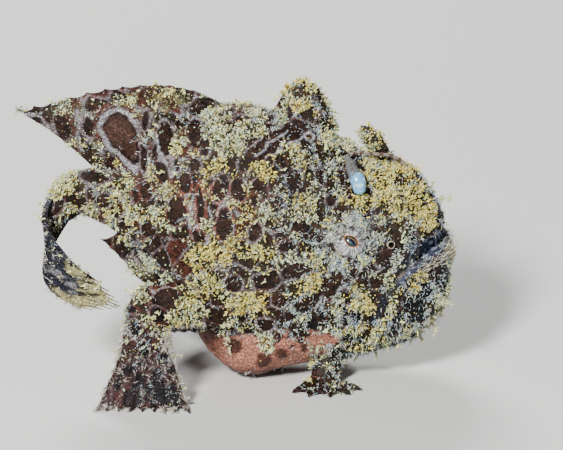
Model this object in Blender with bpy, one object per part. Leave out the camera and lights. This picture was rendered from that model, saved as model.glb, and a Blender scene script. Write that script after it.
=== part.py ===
"""Frogfish standing on its fins, a still model at life size.

The head points to +X, the fish's right side faces -Y and the floor is z = 0. Sizes are in millimetres, and
mesh_object turns them into metres. The body and the tail are one loft through the rows of BODY, cut into
nodes that stay JOINT_GAP apart. Each fin is one sheet whose rays stand out as ridges on both faces.
"""

import math

import bmesh
import bpy
import numpy as np
from mathutils import Vector
from mathutils.bvhtree import BVHTree

MM = 0.001
JOINT_GAP = 0.3

# The body's outline, from the tip of the lower jaw to the end of the tail's flesh: x, top, bottom, half width
BODY = (
    (42.7, 27.0, 21.5, 3.6),
    (42.0, 31.0, 17.0, 6.6),
    (40.4, 36.3, 12.4, 9.4),
    (37.2, 41.0, 8.4, 11.8),
    (32.6, 44.3, 6.0, 13.6),
    (26.0, 46.2, 4.2, 14.8),
    (18.0, 50.0, 2.8, 15.8),
    (10.0, 54.0, 1.2, 16.4),
    (2.5, 56.0, -0.7, 16.2),
    (-4.5, 55.8, 4.0, 15.0),
    (-11.0, 54.0, 14.5, 12.6),
    (-17.5, 51.0, 23.5, 9.6),
    (-23.5, 46.8, 29.4, 6.8),
    (-29.5, 43.0, 32.4, 4.8),
    (-35.5, 41.8, 33.4, 3.4),
    (-39.2, 40.2, 34.8, 1.9),
)
WAIST = 0.44
BODY_RINGS = 38
BODY_SIDES = 28
FRONT_TIP_X = 42.9
TAIL_TIP_X = -39.9

# The tail leaves the straight body here and follows this line down and round the fish's right side
TAIL_START = -26.0
TAIL_PATH = (
    (-26.0, 0.0, 37.5),
    (-32.0, -0.8, 37.2),
    (-36.3, -5.5, 33.6),
    (-36.8, -11.5, 28.8),
    (-32.5, -16.5, 24.3),
    (-21.5, -20.2, 20.3),
)

# Cuts across the body, and the mouth line in side view from its rear corner to the front
HEAD_CUT_X = 5.6
TAIL_CUT_X = -20.5
MOUTH_LINE = ((27.4, 14.5), (28.9, 18.8), (32.0, 23.2), (35.8, 26.0), (39.6, 27.5), (43.4, 28.0))
JAW_BACK = ((25.9, 9.0), (25.6, -4.0))
LIP_RADIUS, LIP_LIFT = 0.95, 0.85

EYE_X, EYE_Z, EYE_RADIUS = 23.0, 31.8, 2.9
EYE_SINK = 0.9
FRONT_NOSTRIL = (31.2, 30.6)
REAR_NOSTRIL = (28.2, 34.0)
NOSTRIL_RADIUS = 0.75

# The rod's places seen from above, with its height over the skin, and the bait's places and radii
ROD_SPOTS = (
    (33.6, -1.6, -1.6),
    (33.2, -1.8, 1.0),
    (30.6, -3.2, 2.1),
    (27.2, -4.3, 2.3),
    (24.2, -4.8, 2.0),
    (21.7, -4.7, 1.4),
)
ROD_RADII = (0.45, 0.4, 0.34, 0.32, 0.3, 0.28)
BAIT_PATH = ((21.9, -5.4), (22.9, -6.9), (24.0, -8.3), (25.0, -9.5))
BAIT_RADII = (0.6, 1.35, 1.75, 1.0)

# Half thicknesses of a fin's rays at root and tip and of its web, and the height of a fin tip lying down
RIDGE_ROOT, RIDGE_TIP, WEB = 0.62, 0.42, 0.3
FLOOR_LIE = 0.35

# Where the tail fin begins, is cut in two, and ends, along the tail's line
CAUDAL_ROOT, CAUDAL_SPLIT, CAUDAL_LENGTH = 8.5, 27.0, 40.6

DORSAL_RAYS, ANAL_RAYS, CAUDAL_RAYS, HAND_RAYS, PELVIC_RAYS = 12, 7, 9, 9, 5

# Each arm's side of the body, and how far it is set forward and out from the right arm's place
ARMS = {"right": (-1, 0.0, 0.0), "left": (1, 5.0, 0.8)}

# The small opening behind each arm: x, z and radius
GILL_OPENING = (-9.8, 15.6, 1.0)

# The coat's leaf-like flaps: their least distance, lengths, and half sizes from root to tip
FLAP_SPACING = {"head": 5.6, "lower_jaw": 5.0, "torso": 6.0, "arm": 5.2, "spine": 4.0}
FLAP_LENGTH = (1.5, 2.5)
FLAP_WIDE = (0.5, 0.72, 0.28)
FLAP_DEEP = (0.36, 0.34, 0.26)
FLAP_TRIES = 3000
FLAP_SEED = {"head": 16, "lower_jaw": 17, "torso": 18, "arm": 21, "spine": 20}

COLOURS = {
    "skin": ((0.33, 0.20, 0.15), 0.75),
    "fin": ((0.42, 0.30, 0.24), 0.7),
    "lure": ((0.72, 0.82, 0.88), 0.3),
    "eye": ((0.45, 0.36, 0.34), 0.15),
}


def curve_through(rows, count):
    """Points on a smooth curve through the rows, which may hold any number of values each."""
    rows = np.array(rows, float)
    padded = np.vstack([2 * rows[0] - rows[1], rows, 2 * rows[-1] - rows[-2]])
    steps = np.linspace(0, len(rows) - 1, count)
    found = []
    for step in steps:
        i = min(int(step), len(rows) - 2)
        u = step - i
        a, b, c, d = padded[i : i + 4]
        found.append(
            0.5 * (2 * b + (c - a) * u + (2 * a - 5 * b + 4 * c - d) * u**2 + (3 * b - a - 3 * c + d) * u**3)
        )
    return np.array(found)


def unit(v):
    return v / np.linalg.norm(v, axis=-1, keepdims=True)


def mesh_object(name, points, faces):
    """A mesh object made from points in millimetres, with its normals turned outwards."""
    mesh = bpy.data.meshes.new(name)
    mesh.from_pydata([tuple(p) for p in np.asarray(points) * MM], [], faces)
    work = bmesh.new()
    work.from_mesh(mesh)
    bmesh.ops.recalc_face_normals(work, faces=work.faces)
    work.to_mesh(mesh)
    work.free()
    obj = bpy.data.objects.new(name, mesh)
    bpy.context.scene.collection.objects.link(obj)
    return obj


def loft(name, rings, first_tip, last_tip):
    """A closed solid through rings of equal count, ended by a tip at each end."""
    count, sides = len(rings), len(rings[0])
    points = [p for ring in rings for p in ring] + [first_tip, last_tip]
    faces = []
    for i in range(count - 1):
        for j in range(sides):
            a, b = i * sides + j, i * sides + (j + 1) % sides
            faces.append((a, b, b + sides, a + sides))
    first, last = count * sides, count * sides + 1
    for j in range(sides):
        k = (j + 1) % sides
        faces.append((first, k, j))
        faces.append((last, (count - 1) * sides + j, (count - 1) * sides + k))
    return mesh_object(name, points, faces)


def tube(name, path, across, deep, side_hint, count=8, sides=12):
    """A limb along the path. Its half sizes are across in the plane of side_hint and deep square to that."""
    line = curve_through(np.column_stack([path, across, deep]), count)
    centres, wide, thin = line[:, :3], line[:, 3], line[:, 4]
    along = unit(np.gradient(centres, axis=0))
    hint = np.array(side_hint, float)
    wide_axis = unit(hint - (along @ hint)[:, None] * along)
    thin_axis = np.cross(along, wide_axis)
    rings = []
    for i in range(count):
        turns = np.linspace(0, 2 * math.pi, sides, endpoint=False)
        rings.append(
            centres[i]
            + np.outer(np.cos(turns) * wide[i], wide_axis[i])
            + np.outer(np.sin(turns) * thin[i], thin_axis[i])
        )
    first = centres[0] - along[0] * min(wide[0], thin[0]) * 0.5
    last = centres[-1] + along[-1] * min(wide[-1], thin[-1]) * 0.5
    return loft(name, rings, first, last)


def tail_frames():
    """Arc lengths along the tail's line, with the place, direction, side and upright of each."""
    early = (TAIL_START + 6.0, TAIL_PATH[0][1], TAIL_PATH[0][2])
    line = curve_through((early,) + TAIL_PATH, 241)[40:]
    line = line + (np.array(TAIL_PATH[0]) - line[0])
    lengths = np.concatenate([[0], np.cumsum(np.linalg.norm(np.diff(line, axis=0), axis=1))])
    along = unit(np.gradient(line, axis=0))
    up = np.array([0.0, 0.0, 1.0])
    upright = unit(up - (along @ up)[:, None] * along)
    return lengths, line, along, np.cross(along, upright), upright


TAIL = tail_frames()


def bend_tail(points):
    """Moves the points behind TAIL_START from the straight pose onto the tail's line."""
    points = np.array(points, float)
    lengths, line, _, side, upright = TAIL
    behind = points[:, 0] < TAIL_START
    s = TAIL_START - points[behind, 0]

    def at(values):
        return np.column_stack([np.interp(s, lengths, values[:, k]) for k in range(3)])

    y, z = points[behind, 1], points[behind, 2] - TAIL_PATH[0][2]
    points[behind] = at(line) + at(side) * y[:, None] + at(upright) * z[:, None]
    return points


def body_rings(count, sides):
    rows = curve_through(BODY, count)
    rings = []
    for x, top, bottom, half_width in rows:
        waist = bottom + WAIST * (top - bottom)
        turns = np.linspace(0, 2 * math.pi, sides, endpoint=False)
        y = half_width * np.sign(np.cos(turns)) * np.abs(np.cos(turns)) ** 0.92
        rise = np.where(np.sin(turns) > 0, top - waist, waist - bottom)
        z = waist + rise * np.sin(turns)
        rings.append(bend_tail(np.column_stack([np.full(sides, x), y, np.maximum(z, 0.0)])))
    return rings


def make_body(name, margin=0.0):
    """The whole body in one solid, swollen by a margin where it serves as a cutter."""
    front_z = (BODY[0][1] + BODY[0][2]) / 2
    tips = bend_tail([(FRONT_TIP_X, 0, front_z), (TAIL_TIP_X, 0, (BODY[-1][1] + BODY[-1][2]) / 2)])
    body = loft(name, body_rings(BODY_RINGS, BODY_SIDES), tips[0], tips[1])
    if margin:
        swell(body, margin)
    return body


def swell(obj, margin):
    """Moves each vertex out along its normal."""
    normals = [v.normal.copy() for v in obj.data.vertices]
    for vertex, normal in zip(obj.data.vertices, normals):
        vertex.co += normal * margin * MM


def copy_of(obj, name, margin=0.0):
    twin = bpy.data.objects.new(name, obj.data.copy())
    bpy.context.scene.collection.objects.link(twin)
    if margin:
        swell(twin, margin)
    return twin


def apply_modifiers(obj):
    graph = bpy.context.evaluated_depsgraph_get()
    mesh = bpy.data.meshes.new_from_object(obj.evaluated_get(graph))
    obj.modifiers.clear()
    obj.data = mesh


def keep_largest(obj):
    """Leaves only the largest closed surface of the object's mesh."""
    work = bmesh.new()
    work.from_mesh(obj.data)
    bmesh.ops.remove_doubles(work, verts=work.verts, dist=1e-7)
    islands, seen = [], set()
    for face in work.faces:
        if face in seen:
            continue
        island, front = [], [face]
        seen.add(face)
        while front:
            now = front.pop()
            island.append(now)
            for edge in now.edges:
                for near in edge.link_faces:
                    if near not in seen:
                        seen.add(near)
                        front.append(near)
        islands.append(island)
    largest = max(islands, key=lambda faces: sum(f.calc_area() for f in faces))
    scraps = [f for island in islands if island is not largest for f in island]
    bmesh.ops.delete(work, geom=scraps, context="FACES")
    work.to_mesh(obj.data)
    work.free()


def boolean(obj, other, operation, solver="EXACT"):
    """Joins, cuts or crosses obj with other, which is then removed."""
    modifier = obj.modifiers.new(operation.lower(), "BOOLEAN")
    modifier.operation = operation
    modifier.object = other
    modifier.solver = solver
    apply_modifiers(obj)
    bpy.data.objects.remove(other)
    return obj


def cut(obj, *cutters):
    for cutter in cutters:
        boolean(obj, cutter, "DIFFERENCE")
    keep_largest(obj)
    return obj


def join(obj, pieces):
    """One Boolean union of obj with a collection of closed pieces, which are then removed."""
    group = bpy.data.collections.new(obj.name + "_pieces")
    bpy.context.scene.collection.children.link(group)
    for piece in pieces:
        bpy.context.scene.collection.objects.unlink(piece)
        group.objects.link(piece)
    modifier = obj.modifiers.new("join", "BOOLEAN")
    modifier.operation = "UNION"
    modifier.operand_type = "COLLECTION"
    modifier.collection = group
    modifier.solver = "EXACT"
    apply_modifiers(obj)
    for piece in pieces:
        bpy.data.objects.remove(piece)
    bpy.data.collections.remove(group)
    keep_largest(obj)
    return obj


def block(name, low, high):
    corners = [(x, y, z) for x in (low[0], high[0]) for y in (low[1], high[1]) for z in (low[2], high[2])]
    faces = [(0, 1, 3, 2), (4, 6, 7, 5), (0, 4, 5, 1), (2, 3, 7, 6), (0, 2, 6, 4), (1, 5, 7, 3)]
    return mesh_object(name, corners, faces)


def ball(name, centre, radius, segments=18, rings=11):
    work = bmesh.new()
    bmesh.ops.create_uvsphere(work, u_segments=segments, v_segments=rings, radius=radius)
    points = np.array([v.co for v in work.verts]) + np.array(centre)
    faces = [[v.index for v in f.verts] for f in work.faces]
    work.free()
    return mesh_object(name, points, faces)


def jaw_prism(name, grown):
    """The space of the lower jaw, in front of the mouth line, as a prism across the head."""
    line = curve_through(MOUTH_LINE, 11)
    line = np.vstack([JAW_BACK[1], JAW_BACK[0], line, (line[-1] + (6.0, 0.3))])
    along = unit(np.gradient(line, axis=0))
    line = line + np.column_stack([-along[:, 1], along[:, 0]]) * grown
    outline = np.vstack([line, (60.0, line[-1][1]), (60.0, -4.0)])
    half, count = 30.0, len(outline)
    points = [(x, side, z) for side in (-half, half) for x, z in outline]
    faces = [tuple(range(count)), tuple(range(2 * count - 1, count - 1, -1))]
    faces += [(i, (i + 1) % count, (i + 1) % count + count, i + count) for i in range(count)]
    return mesh_object(name, points, faces)


class Surface:
    """Finds where straight lines meet a mesh, in millimetres."""

    def __init__(self, obj):
        work = bmesh.new()
        work.from_mesh(obj.data)
        self.tree = BVHTree.FromBMesh(work)
        work.free()

    def hit(self, start, direction):
        place, normal, _, _ = self.tree.ray_cast(Vector(start) * MM, Vector(direction))
        return (None, None) if place is None else (np.array(place) / MM, np.array(normal))

    def from_side(self, x, z, side):
        return self.hit((x, side * 60.0, z), (0, -side, 0))

    def from_above(self, x, y, lift=0.0):
        place, _ = self.hit((x, y, 90.0), (0, 0, -1))
        return place + (0, 0, lift)


def fin(name, rays, ridge_root=RIDGE_ROOT, ridge_tip=RIDGE_TIP, web=WEB, notch=0.1):
    """A fin's sheet. Each ray is a ridge on both faces, and the web ends short of the rays' tips."""
    rays = np.array(rays, float)
    count, steps = rays.shape[:2]
    columns = []
    for i in range(count):
        columns.append(rays[i])
        if i < count - 1:
            between = (rays[i] + rays[i + 1]) / 2
            reach = np.linspace(0, 1, steps) ** 2
            inner = between[-1] - between[-2]
            columns.append(between - np.outer(reach * notch * (steps - 1), inner))
    grid = np.array(columns)
    along = np.gradient(grid, axis=1)
    across = np.gradient(grid, axis=0)
    normal = unit(np.cross(along, across))
    thick = np.empty(grid.shape[:2])
    thick[0::2] = np.linspace(ridge_root, ridge_tip, steps)
    thick[1::2] = web
    offset = normal * thick[:, :, None]
    points = np.concatenate([(grid + offset).reshape(-1, 3), (grid - offset).reshape(-1, 3)])
    points[:, 2] = np.maximum(points[:, 2], 0.0)
    wide, back = len(grid), grid.shape[0] * steps
    faces = []
    for j in range(wide - 1):
        for k in range(steps - 1):
            a = j * steps + k
            b, c, d = a + steps, a + steps + 1, a + 1
            faces += [(a, b, c), (a, c, d), (a + back, c + back, b + back), (a + back, d + back, c + back)]
    rim = [j * steps for j in range(wide)]
    rim += [(wide - 1) * steps + k for k in range(1, steps)]
    rim += [j * steps + steps - 1 for j in range(wide - 2, -1, -1)]
    rim += [k for k in range(steps - 2, 0, -1)]
    for p, q in zip(rim, rim[1:] + rim[:1]):
        faces += [(p, q, q + back), (p, q + back, p + back)]
    return mesh_object(name, points, faces)


def body_edge(column, x):
    """The height of the body's top (column 1) or bottom (column 2) at x, in the straight pose."""
    rows = curve_through(BODY, 200)[::-1]
    return np.interp(x, rows[:, 0], rows[:, column])


def dorsal_rays():
    """Rays laid well back, whose tips make the fin's nearly level upper edge."""
    root_x = np.linspace(-2.6, -28.5, DORSAL_RAYS)
    edge = ((-8.2, 59.0), (-15.0, 60.3), (-24.0, 59.6), (-34.0, 57.3), (-43.2, 55.2))
    tips = curve_through(edge, DORSAL_RAYS)
    rays = []
    for i, x in enumerate(root_x):
        foot = np.array([x, 0.0, body_edge(1, x)])
        tip = np.array([tips[i, 0], 0.06 * i * math.sin(i * 1.1), tips[i, 1]])
        sunk = foot + (3.0, 0.0, -3.6)
        rise = (foot + tip) / 2 + np.array([0.3, 0.0, 0.5]) * (0.2 + 0.1 * i)
        rays.append(curve_through((sunk, foot, rise, tip), 8))
    return rays


def anal_rays():
    """Short rays under the rear of the body, pointing down and back."""
    root_x = np.linspace(-10.5, -23.5, ANAL_RAYS)
    tips = curve_through(((-16.0, 16.2), (-20.0, 20.4), (-23.2, 24.3), (-27.0, 28.2)), ANAL_RAYS)
    rays = []
    for i, x in enumerate(root_x):
        foot = np.array([x, 0.0, body_edge(2, x)])
        tip = np.array([tips[i, 0], -0.5, tips[i, 1]])
        sunk = foot + (1.4, 0.0, 3.2)
        rise = (foot + tip) / 2 + (-0.3, 0.0, -0.7)
        rays.append(curve_through((sunk, foot, rise, tip), 7))
    return rays


def caudal_rays(start, end, steps):
    """Part of the half-folded tail fin, between two distances along the tail's line."""
    rays = []
    for f in np.linspace(-1, 1, CAUDAL_RAYS):
        s = np.linspace(start, min(end, CAUDAL_LENGTH - 5.0 * f * f), steps)
        half = np.interp(s, (CAUDAL_ROOT, 14.0, 24.0, CAUDAL_LENGTH), (3.2, 4.4, 4.9, 2.3))
        stagger = 0.25 * math.sin(4 * math.pi * f)
        straight = np.column_stack([TAIL_START - s, np.full(steps, stagger), TAIL_PATH[0][2] + half * f])
        rays.append(bend_tail(straight))
    return rays


def hand_rays(side, forward, out):
    """Finger-like rays down from the wrist, whose ends lie on the floor."""
    rays = []
    for f in np.linspace(-1, 1, HAND_RAYS):
        wander = 0.35 * math.sin(7 * f)
        line = (
            (-17.6 + 3.9 * f, 20.3, 15.4),
            (-17.6 + 4.6 * f, 20.4, 11.6),
            (-17.8 + 6.6 * f, 20.9, 6.0 + wander),
            (-18.0 + 8.0 * f, 21.8, 1.6 + 0.5 * f * f),
            (-18.1 + 8.6 * f, 22.8, FLOOR_LIE + 0.15),
            (-18.2 + (9.3 + wander) * f, 24.6 + 0.6 * f, FLOOR_LIE),
        )
        rays.append(curve_through([(x + forward, side * (y + out), z) for x, y, z in line], 11))
    return rays


def make_arm(name, side, forward, out, body):
    """Upper arm back along the flank, and a forearm down to the wrist.

    Each row of place holds x, the distance from the middle, z, and the row's share of the outward shift.
    """

    def place(line):
        return [(x + forward, side * (y + out * share), z) for x, y, z, share in line]

    upper = tube(
        name,
        place([(8.5, 7.8, 17.4, 0), (1.5, 11.2, 18.8, 0), (-5.5, 15.3, 20.2, 0.4), (-13.0, 19.0, 21.0, 0.8)])
        + place([(-18.6, 20.6, 20.4, 1)]),
        (4.2, 6.0, 5.8, 4.8, 2.4),
        (3.0, 4.6, 4.4, 3.7, 1.9),
        (0, 0, 1),
        count=10,
        sides=14,
    )
    forearm = tube(
        name + "_forearm",
        place([(-15.6, 19.9, 24.4, 1), (-16.6, 20.1, 21.0, 1)])
        + place([(-17.4, 20.3, 16.0, 1), (-17.6, 20.4, 12.0, 1)]),
        (1.8, 4.4, 4.9, 5.3),
        (1.5, 3.5, 2.8, 1.4),
        (1, 0, 0),
        count=7,
        sides=14,
    )
    join(upper, [forearm])

    def allowed(spot, normal):
        return abs(spot[1]) > 17.0 and spot[2] > 14.5 and side * normal[1] > 0.1

    centre, extent = (side * (19.5 + out), 20.0), (-21.5 + forward, -4.0 + forward)
    join(upper, scatter_flaps("arm", Surface(upper), centre, extent, allowed))
    return cut(upper, copy_of(body, "body_cutter", JOINT_GAP))


def make_pelvic(name, side, body):
    """A short lobe under the throat and five rays spread on the floor, in one node."""
    lobe = tube(
        name,
        [(19.5, side * 4.5, 8.5), (18.4, side * 7.6, 4.6), (17.4, side * 10.4, 2.1)],
        (3.4, 3.1, 2.5),
        (2.8, 2.3, 1.1),
        (1, 0, 0),
        count=6,
        sides=12,
    )
    rays = []
    for f in np.linspace(-1, 1, PELVIC_RAYS):
        turn = math.radians(10 + 50 * f)
        reach = 8.0 - 0.9 * f * f
        away = np.array([math.sin(turn), side * math.cos(turn), 0.0])
        start = np.array([17.6 + 2.0 * f, side * 8.8, 1.9])
        knee = start + away * reach * 0.5
        knee[2] = 1.0
        tip = start + away * reach
        tip[2] = FLOOR_LIE
        rays.append(curve_through((start, knee, tip), 6))
    join(lobe, [fin(name + "_rays", rays, ridge_root=0.6, ridge_tip=0.5)])
    return cut(lobe, copy_of(body, "body_cutter", JOINT_GAP))


def lip(name, surface, lift):
    """A rounded lip along the mouth line, right round the front, lifted to one side of the line."""
    line = curve_through(MOUTH_LINE, 12)[:-1]
    along = unit(np.gradient(line, axis=0))
    line = line + np.column_stack([-along[:, 1], along[:, 0]]) * lift
    right = [surface.from_side(x, z, -1)[0] for x, z in line if x < 42.2]
    left = [p * (1, -1, 1) for p in right[::-1]]
    front = np.array([FRONT_TIP_X - 0.2, 0.0, line[-1][1]])
    path = np.array(right + [front] + left)
    radii = np.full(len(path), LIP_RADIUS)
    radii[[0, -1]] = LIP_RADIUS * 0.5
    return tube(name, path, radii, radii, (0, 0.02, 1), count=len(path) + 6, sides=8)


def eye_place(surface, side):
    spot, normal = surface.from_side(EYE_X, EYE_Z, side)
    normal = unit(normal + np.array([0.12, 0.0, 0.1]))
    return spot, normal


def eye_mound(name, surface, side):
    """The low cone of skin that carries the eye, before its socket is cut."""
    spot, normal = eye_place(surface, side)
    path = [spot - normal * 2.6, spot - normal * 0.6, spot + normal * 0.8]
    return tube(name, path, (6.4, 5.2, 3.4), (6.0, 4.8, 3.2), (0, 0, 1), count=5, sides=20)


def nostril(name, surface, x, z, side, height):
    """A short open tube of skin."""
    spot, normal = surface.from_side(x, z, side)
    path = [spot - normal * 0.8, spot + normal * height]
    outer, inner = [NOSTRIL_RADIUS] * 2, [NOSTRIL_RADIUS * 0.5] * 2
    wall = tube(name, path, outer, outer, (0, 0, 1), count=3, sides=10)
    path = [spot + normal * (height - 0.5), spot + normal * (height + 1.5)]
    return wall, tube(name + "_bore", path, inner, inner, (0, 0, 1), count=2, sides=8)


def flap(spot, normal, random):
    """One leaf-like flap, its root sunk in the skin and its tip leaning back and down."""
    length = random.uniform(*FLAP_LENGTH)
    lean = np.array([-0.45, 0.0, -0.15]) + random.uniform(-0.35, 0.35, 3)
    middle = spot + (normal * 0.4 + lean * 0.12) * length
    tip = spot + (normal * 0.85 + lean * 0.55) * length
    path = [spot - normal * 0.8, middle, tip]
    return tube("flap", path, FLAP_WIDE, FLAP_DEEP, random.uniform(-1, 1, 3), count=3, sides=4)


def scatter_flaps(kind, surface, centre, extent, allowed):
    """Flaps on the surface round a line along X, wherever allowed(spot, normal) holds, evenly spaced."""
    random = np.random.default_rng(FLAP_SEED[kind])
    spots, pieces = [], []
    for _ in range(FLAP_TRIES):
        x, turn = random.uniform(*extent), random.uniform(0, 2 * math.pi)
        outward = np.array([0.0, math.cos(turn), math.sin(turn)])
        origin = np.array([x, centre[0], centre[1]])
        spot, normal = surface.hit(origin + outward * 60.0, -outward)
        if spot is None or not allowed(spot, normal):
            continue
        if all(np.linalg.norm(spot - other) > FLAP_SPACING[kind] for other in spots):
            spots.append(spot)
            pieces.append(flap(spot, normal, random))
    return pieces


def away_from(spot, places, distance):
    return all(np.linalg.norm(spot - place) > distance for place in places)


def head_flap_allowed(surface):
    """A test for flaps on head and jaw: clear of the eyes, nostrils, lips, spines, rod, bait and cuts."""
    eyes = [surface.from_side(EYE_X, EYE_Z, side)[0] for side in (-1, 1)]
    nostrils = [surface.from_side(*FRONT_NOSTRIL, side)[0] for side in (-1, 1)]
    nostrils += [surface.from_side(*REAR_NOSTRIL, side)[0] for side in (-1, 1)]
    lure = [surface.from_above(x, y) for x, y, _ in ROD_SPOTS] + [surface.from_above(*xy) for xy in BAIT_PATH]
    mouth = np.vstack([JAW_BACK[1], JAW_BACK[0], curve_through(MOUTH_LINE, 20)])

    def allowed(spot, normal):
        x, y, z = spot
        clear = away_from(spot, eyes, 6.6) and away_from(spot, nostrils, 2.4) and away_from(spot, lure, 3.6)
        clear = clear and np.linalg.norm(mouth - (x, z), axis=1).min() > 3.3 and x > HEAD_CUT_X + 2.4
        on_spines = normal[2] > 0.3 and (abs(y) < 6.0 and x < 22.5 or abs(y) < 4.0 and 22.5 < x < 34.0)
        by_pelvic = z < 9.0 and 12.0 < x < 24.0
        by_arm = x < 10.0 and 10.0 < z < 28.0
        return clear and z > 3.0 and not on_spines and not by_pelvic and not by_arm

    return allowed


def in_jaw(spot):
    x, _, z = spot
    return x > JAW_BACK[0][0] and z < np.interp(x, *np.transpose(MOUTH_LINE))


def torso_flap_allowed(spot, normal):
    """A test for flaps on the trunk: clear of the arms, the fins' roots, the cuts and the bare belly."""
    x, y, z = spot
    by_arm = x > -19.0 and 11.0 < z < 28.0
    by_fins = abs(y) < 2.6
    return TAIL_CUT_X + 2.0 < x < HEAD_CUT_X - 2.2 and z > 12.0 and not by_arm and not by_fins


def make_head(body, surface):
    head = copy_of(body, "head")
    boolean(head, block("front_of_body", (HEAD_CUT_X, -40, -5), (60, 40, 80)), "INTERSECT")
    boolean(head, jaw_prism("jaw_space", JOINT_GAP / 2), "DIFFERENCE")
    pieces, bores = [lip("upper_lip", surface, LIP_LIFT)], []
    for side in (-1, 1):
        pieces.append(eye_mound("eye_mound", surface, side))
        for (x, z), height in ((FRONT_NOSTRIL, 1.1), (REAR_NOSTRIL, 0.7)):
            wall, bore = nostril("nostril", surface, x, z, side, height)
            pieces.append(wall)
            bores.append(bore)
    test = head_flap_allowed(surface)
    extent = (HEAD_CUT_X, FRONT_TIP_X)
    allowed = lambda spot, normal: test(spot, normal) and not in_jaw(spot)
    coat = scatter_flaps("head", surface, (0, 26), extent, allowed)
    join(head, pieces + coat)
    boolean(head, jaw_prism("jaw_space", JOINT_GAP / 2), "DIFFERENCE")
    sockets = []
    for side in (-1, 1):
        spot, normal = eye_place(surface, side)
        sockets.append(ball("socket", spot - normal * EYE_SINK, EYE_RADIUS + JOINT_GAP))
    return cut(head, *bores, *sockets)


def make_jaw(body, surface):
    jaw = copy_of(body, "lower_jaw")
    boolean(jaw, jaw_prism("jaw_space", -JOINT_GAP / 2), "INTERSECT")
    test = head_flap_allowed(surface)
    extent = (JAW_BACK[0][0], FRONT_TIP_X)
    allowed = lambda spot, normal: test(spot, normal) and in_jaw(spot)
    coat = scatter_flaps("lower_jaw", surface, (0, 20), extent, allowed)
    join(jaw, [lip("lower_lip", surface, -LIP_LIFT)] + coat)
    boolean(jaw, jaw_prism("jaw_space", -JOINT_GAP / 2), "INTERSECT")
    keep_largest(jaw)
    return jaw


def make_eye(name, surface, side):
    spot, normal = eye_place(surface, side)
    return ball(name, spot - normal * EYE_SINK, EYE_RADIUS, 16, 11)


def slice_of_body(name, body, low_x, high_x):
    piece = copy_of(body, name)
    boolean(piece, block(name + "_range", (low_x, -40, -5), (high_x, 40, 80)), "INTERSECT")
    keep_largest(piece)
    return piece


def make_torso(body, surface):
    """The trunk, with the small round gill opening behind each arm."""
    torso = slice_of_body("torso", body, TAIL_CUT_X, HEAD_CUT_X - JOINT_GAP)
    extent = (TAIL_CUT_X, HEAD_CUT_X)
    join(torso, scatter_flaps("torso", surface, (0, 32), extent, torso_flap_allowed))
    x, z, radius = GILL_OPENING
    pits = [ball("pit", surface.from_side(x, z, side)[0], radius, 12, 8) for side in (-1, 1)]
    return cut(torso, *pits)


def make_third_spine(body):
    """The thick hump of the third dorsal spine, on top of the head."""
    spine = tube(
        "third_dorsal_spine",
        [(13.2, 0, 47.0), (13.2, 0, 52.5), (13.4, 0, 57.0), (13.2, 0, 59.8), (13.0, 0, 61.0)],
        (6.9, 6.7, 5.0, 3.2, 1.3),
        (4.0, 3.7, 2.7, 1.7, 0.8),
        (1, 0, 0),
        count=9,
        sides=16,
    )

    def allowed(spot, normal):
        return 54.5 < spot[2] < 59.0 and normal[2] < 0.75

    join(spine, scatter_flaps("spine", Surface(spine), (0, 56.5), (7.0, 19.5), allowed))
    return cut(spine, copy_of(body, "body_cutter", JOINT_GAP))


def make_second_spine(body):
    """The short second dorsal spine, leaning back and a little to the left."""
    spine = tube(
        "second_dorsal_spine",
        [(30.2, 0.2, 41.5), (28.6, 0.5, 46.5), (26.8, 1.0, 49.6), (25.0, 1.5, 51.4)],
        (2.9, 2.4, 1.7, 0.8),
        (1.7, 1.5, 1.1, 0.6),
        (1, 0, 0),
        count=7,
        sides=10,
    )
    return cut(spine, copy_of(body, "body_cutter", JOINT_GAP))


def make_lure(body, surface):
    """The fishing rod laid back over the head, and the egg-shaped bait at its end."""
    path = [surface.from_above(*spot) for spot in ROD_SPOTS]
    rod = tube("lure_rod", path, ROD_RADII, ROD_RADII, (0, 1, 0.2), count=16, sides=8)
    cut(rod, copy_of(body, "body_cutter", JOINT_GAP))
    path = [surface.from_above(x, y, r + 0.7) for (x, y), r in zip(BAIT_PATH, BAIT_RADII)]
    bait = tube("lure_bait", path, BAIT_RADII, BAIT_RADII, (0, 0, 1), count=9, sides=12)
    cut(bait, copy_of(body, "body_cutter", JOINT_GAP), copy_of(rod, "rod_cutter", JOINT_GAP))
    return rod, bait


def finish(obj, colour):
    """Shades the object smooth and gives it its own material."""
    obj.data.shade_smooth()
    obj.data.set_sharp_from_angle(angle=math.radians(50))
    material = bpy.data.materials.new(obj.name)
    material.use_nodes = True
    shader = material.node_tree.nodes["Principled BSDF"]
    (red, green, blue), roughness = COLOURS[colour]
    shader.inputs["Base Color"].default_value = (red, green, blue, 1)
    shader.inputs["Roughness"].default_value = roughness
    obj.data.materials.clear()
    obj.data.materials.append(material)


def centre_on_origin():
    """Slides everything along the floor, so that the middle of the whole lies over the origin."""
    points = np.array([v.co for obj in bpy.data.objects for v in obj.data.vertices])
    middle = (points.min(axis=0) + points.max(axis=0)) / 2
    for obj in bpy.data.objects:
        for vertex in obj.data.vertices:
            vertex.co -= Vector((middle[0], middle[1], 0.0))


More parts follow.
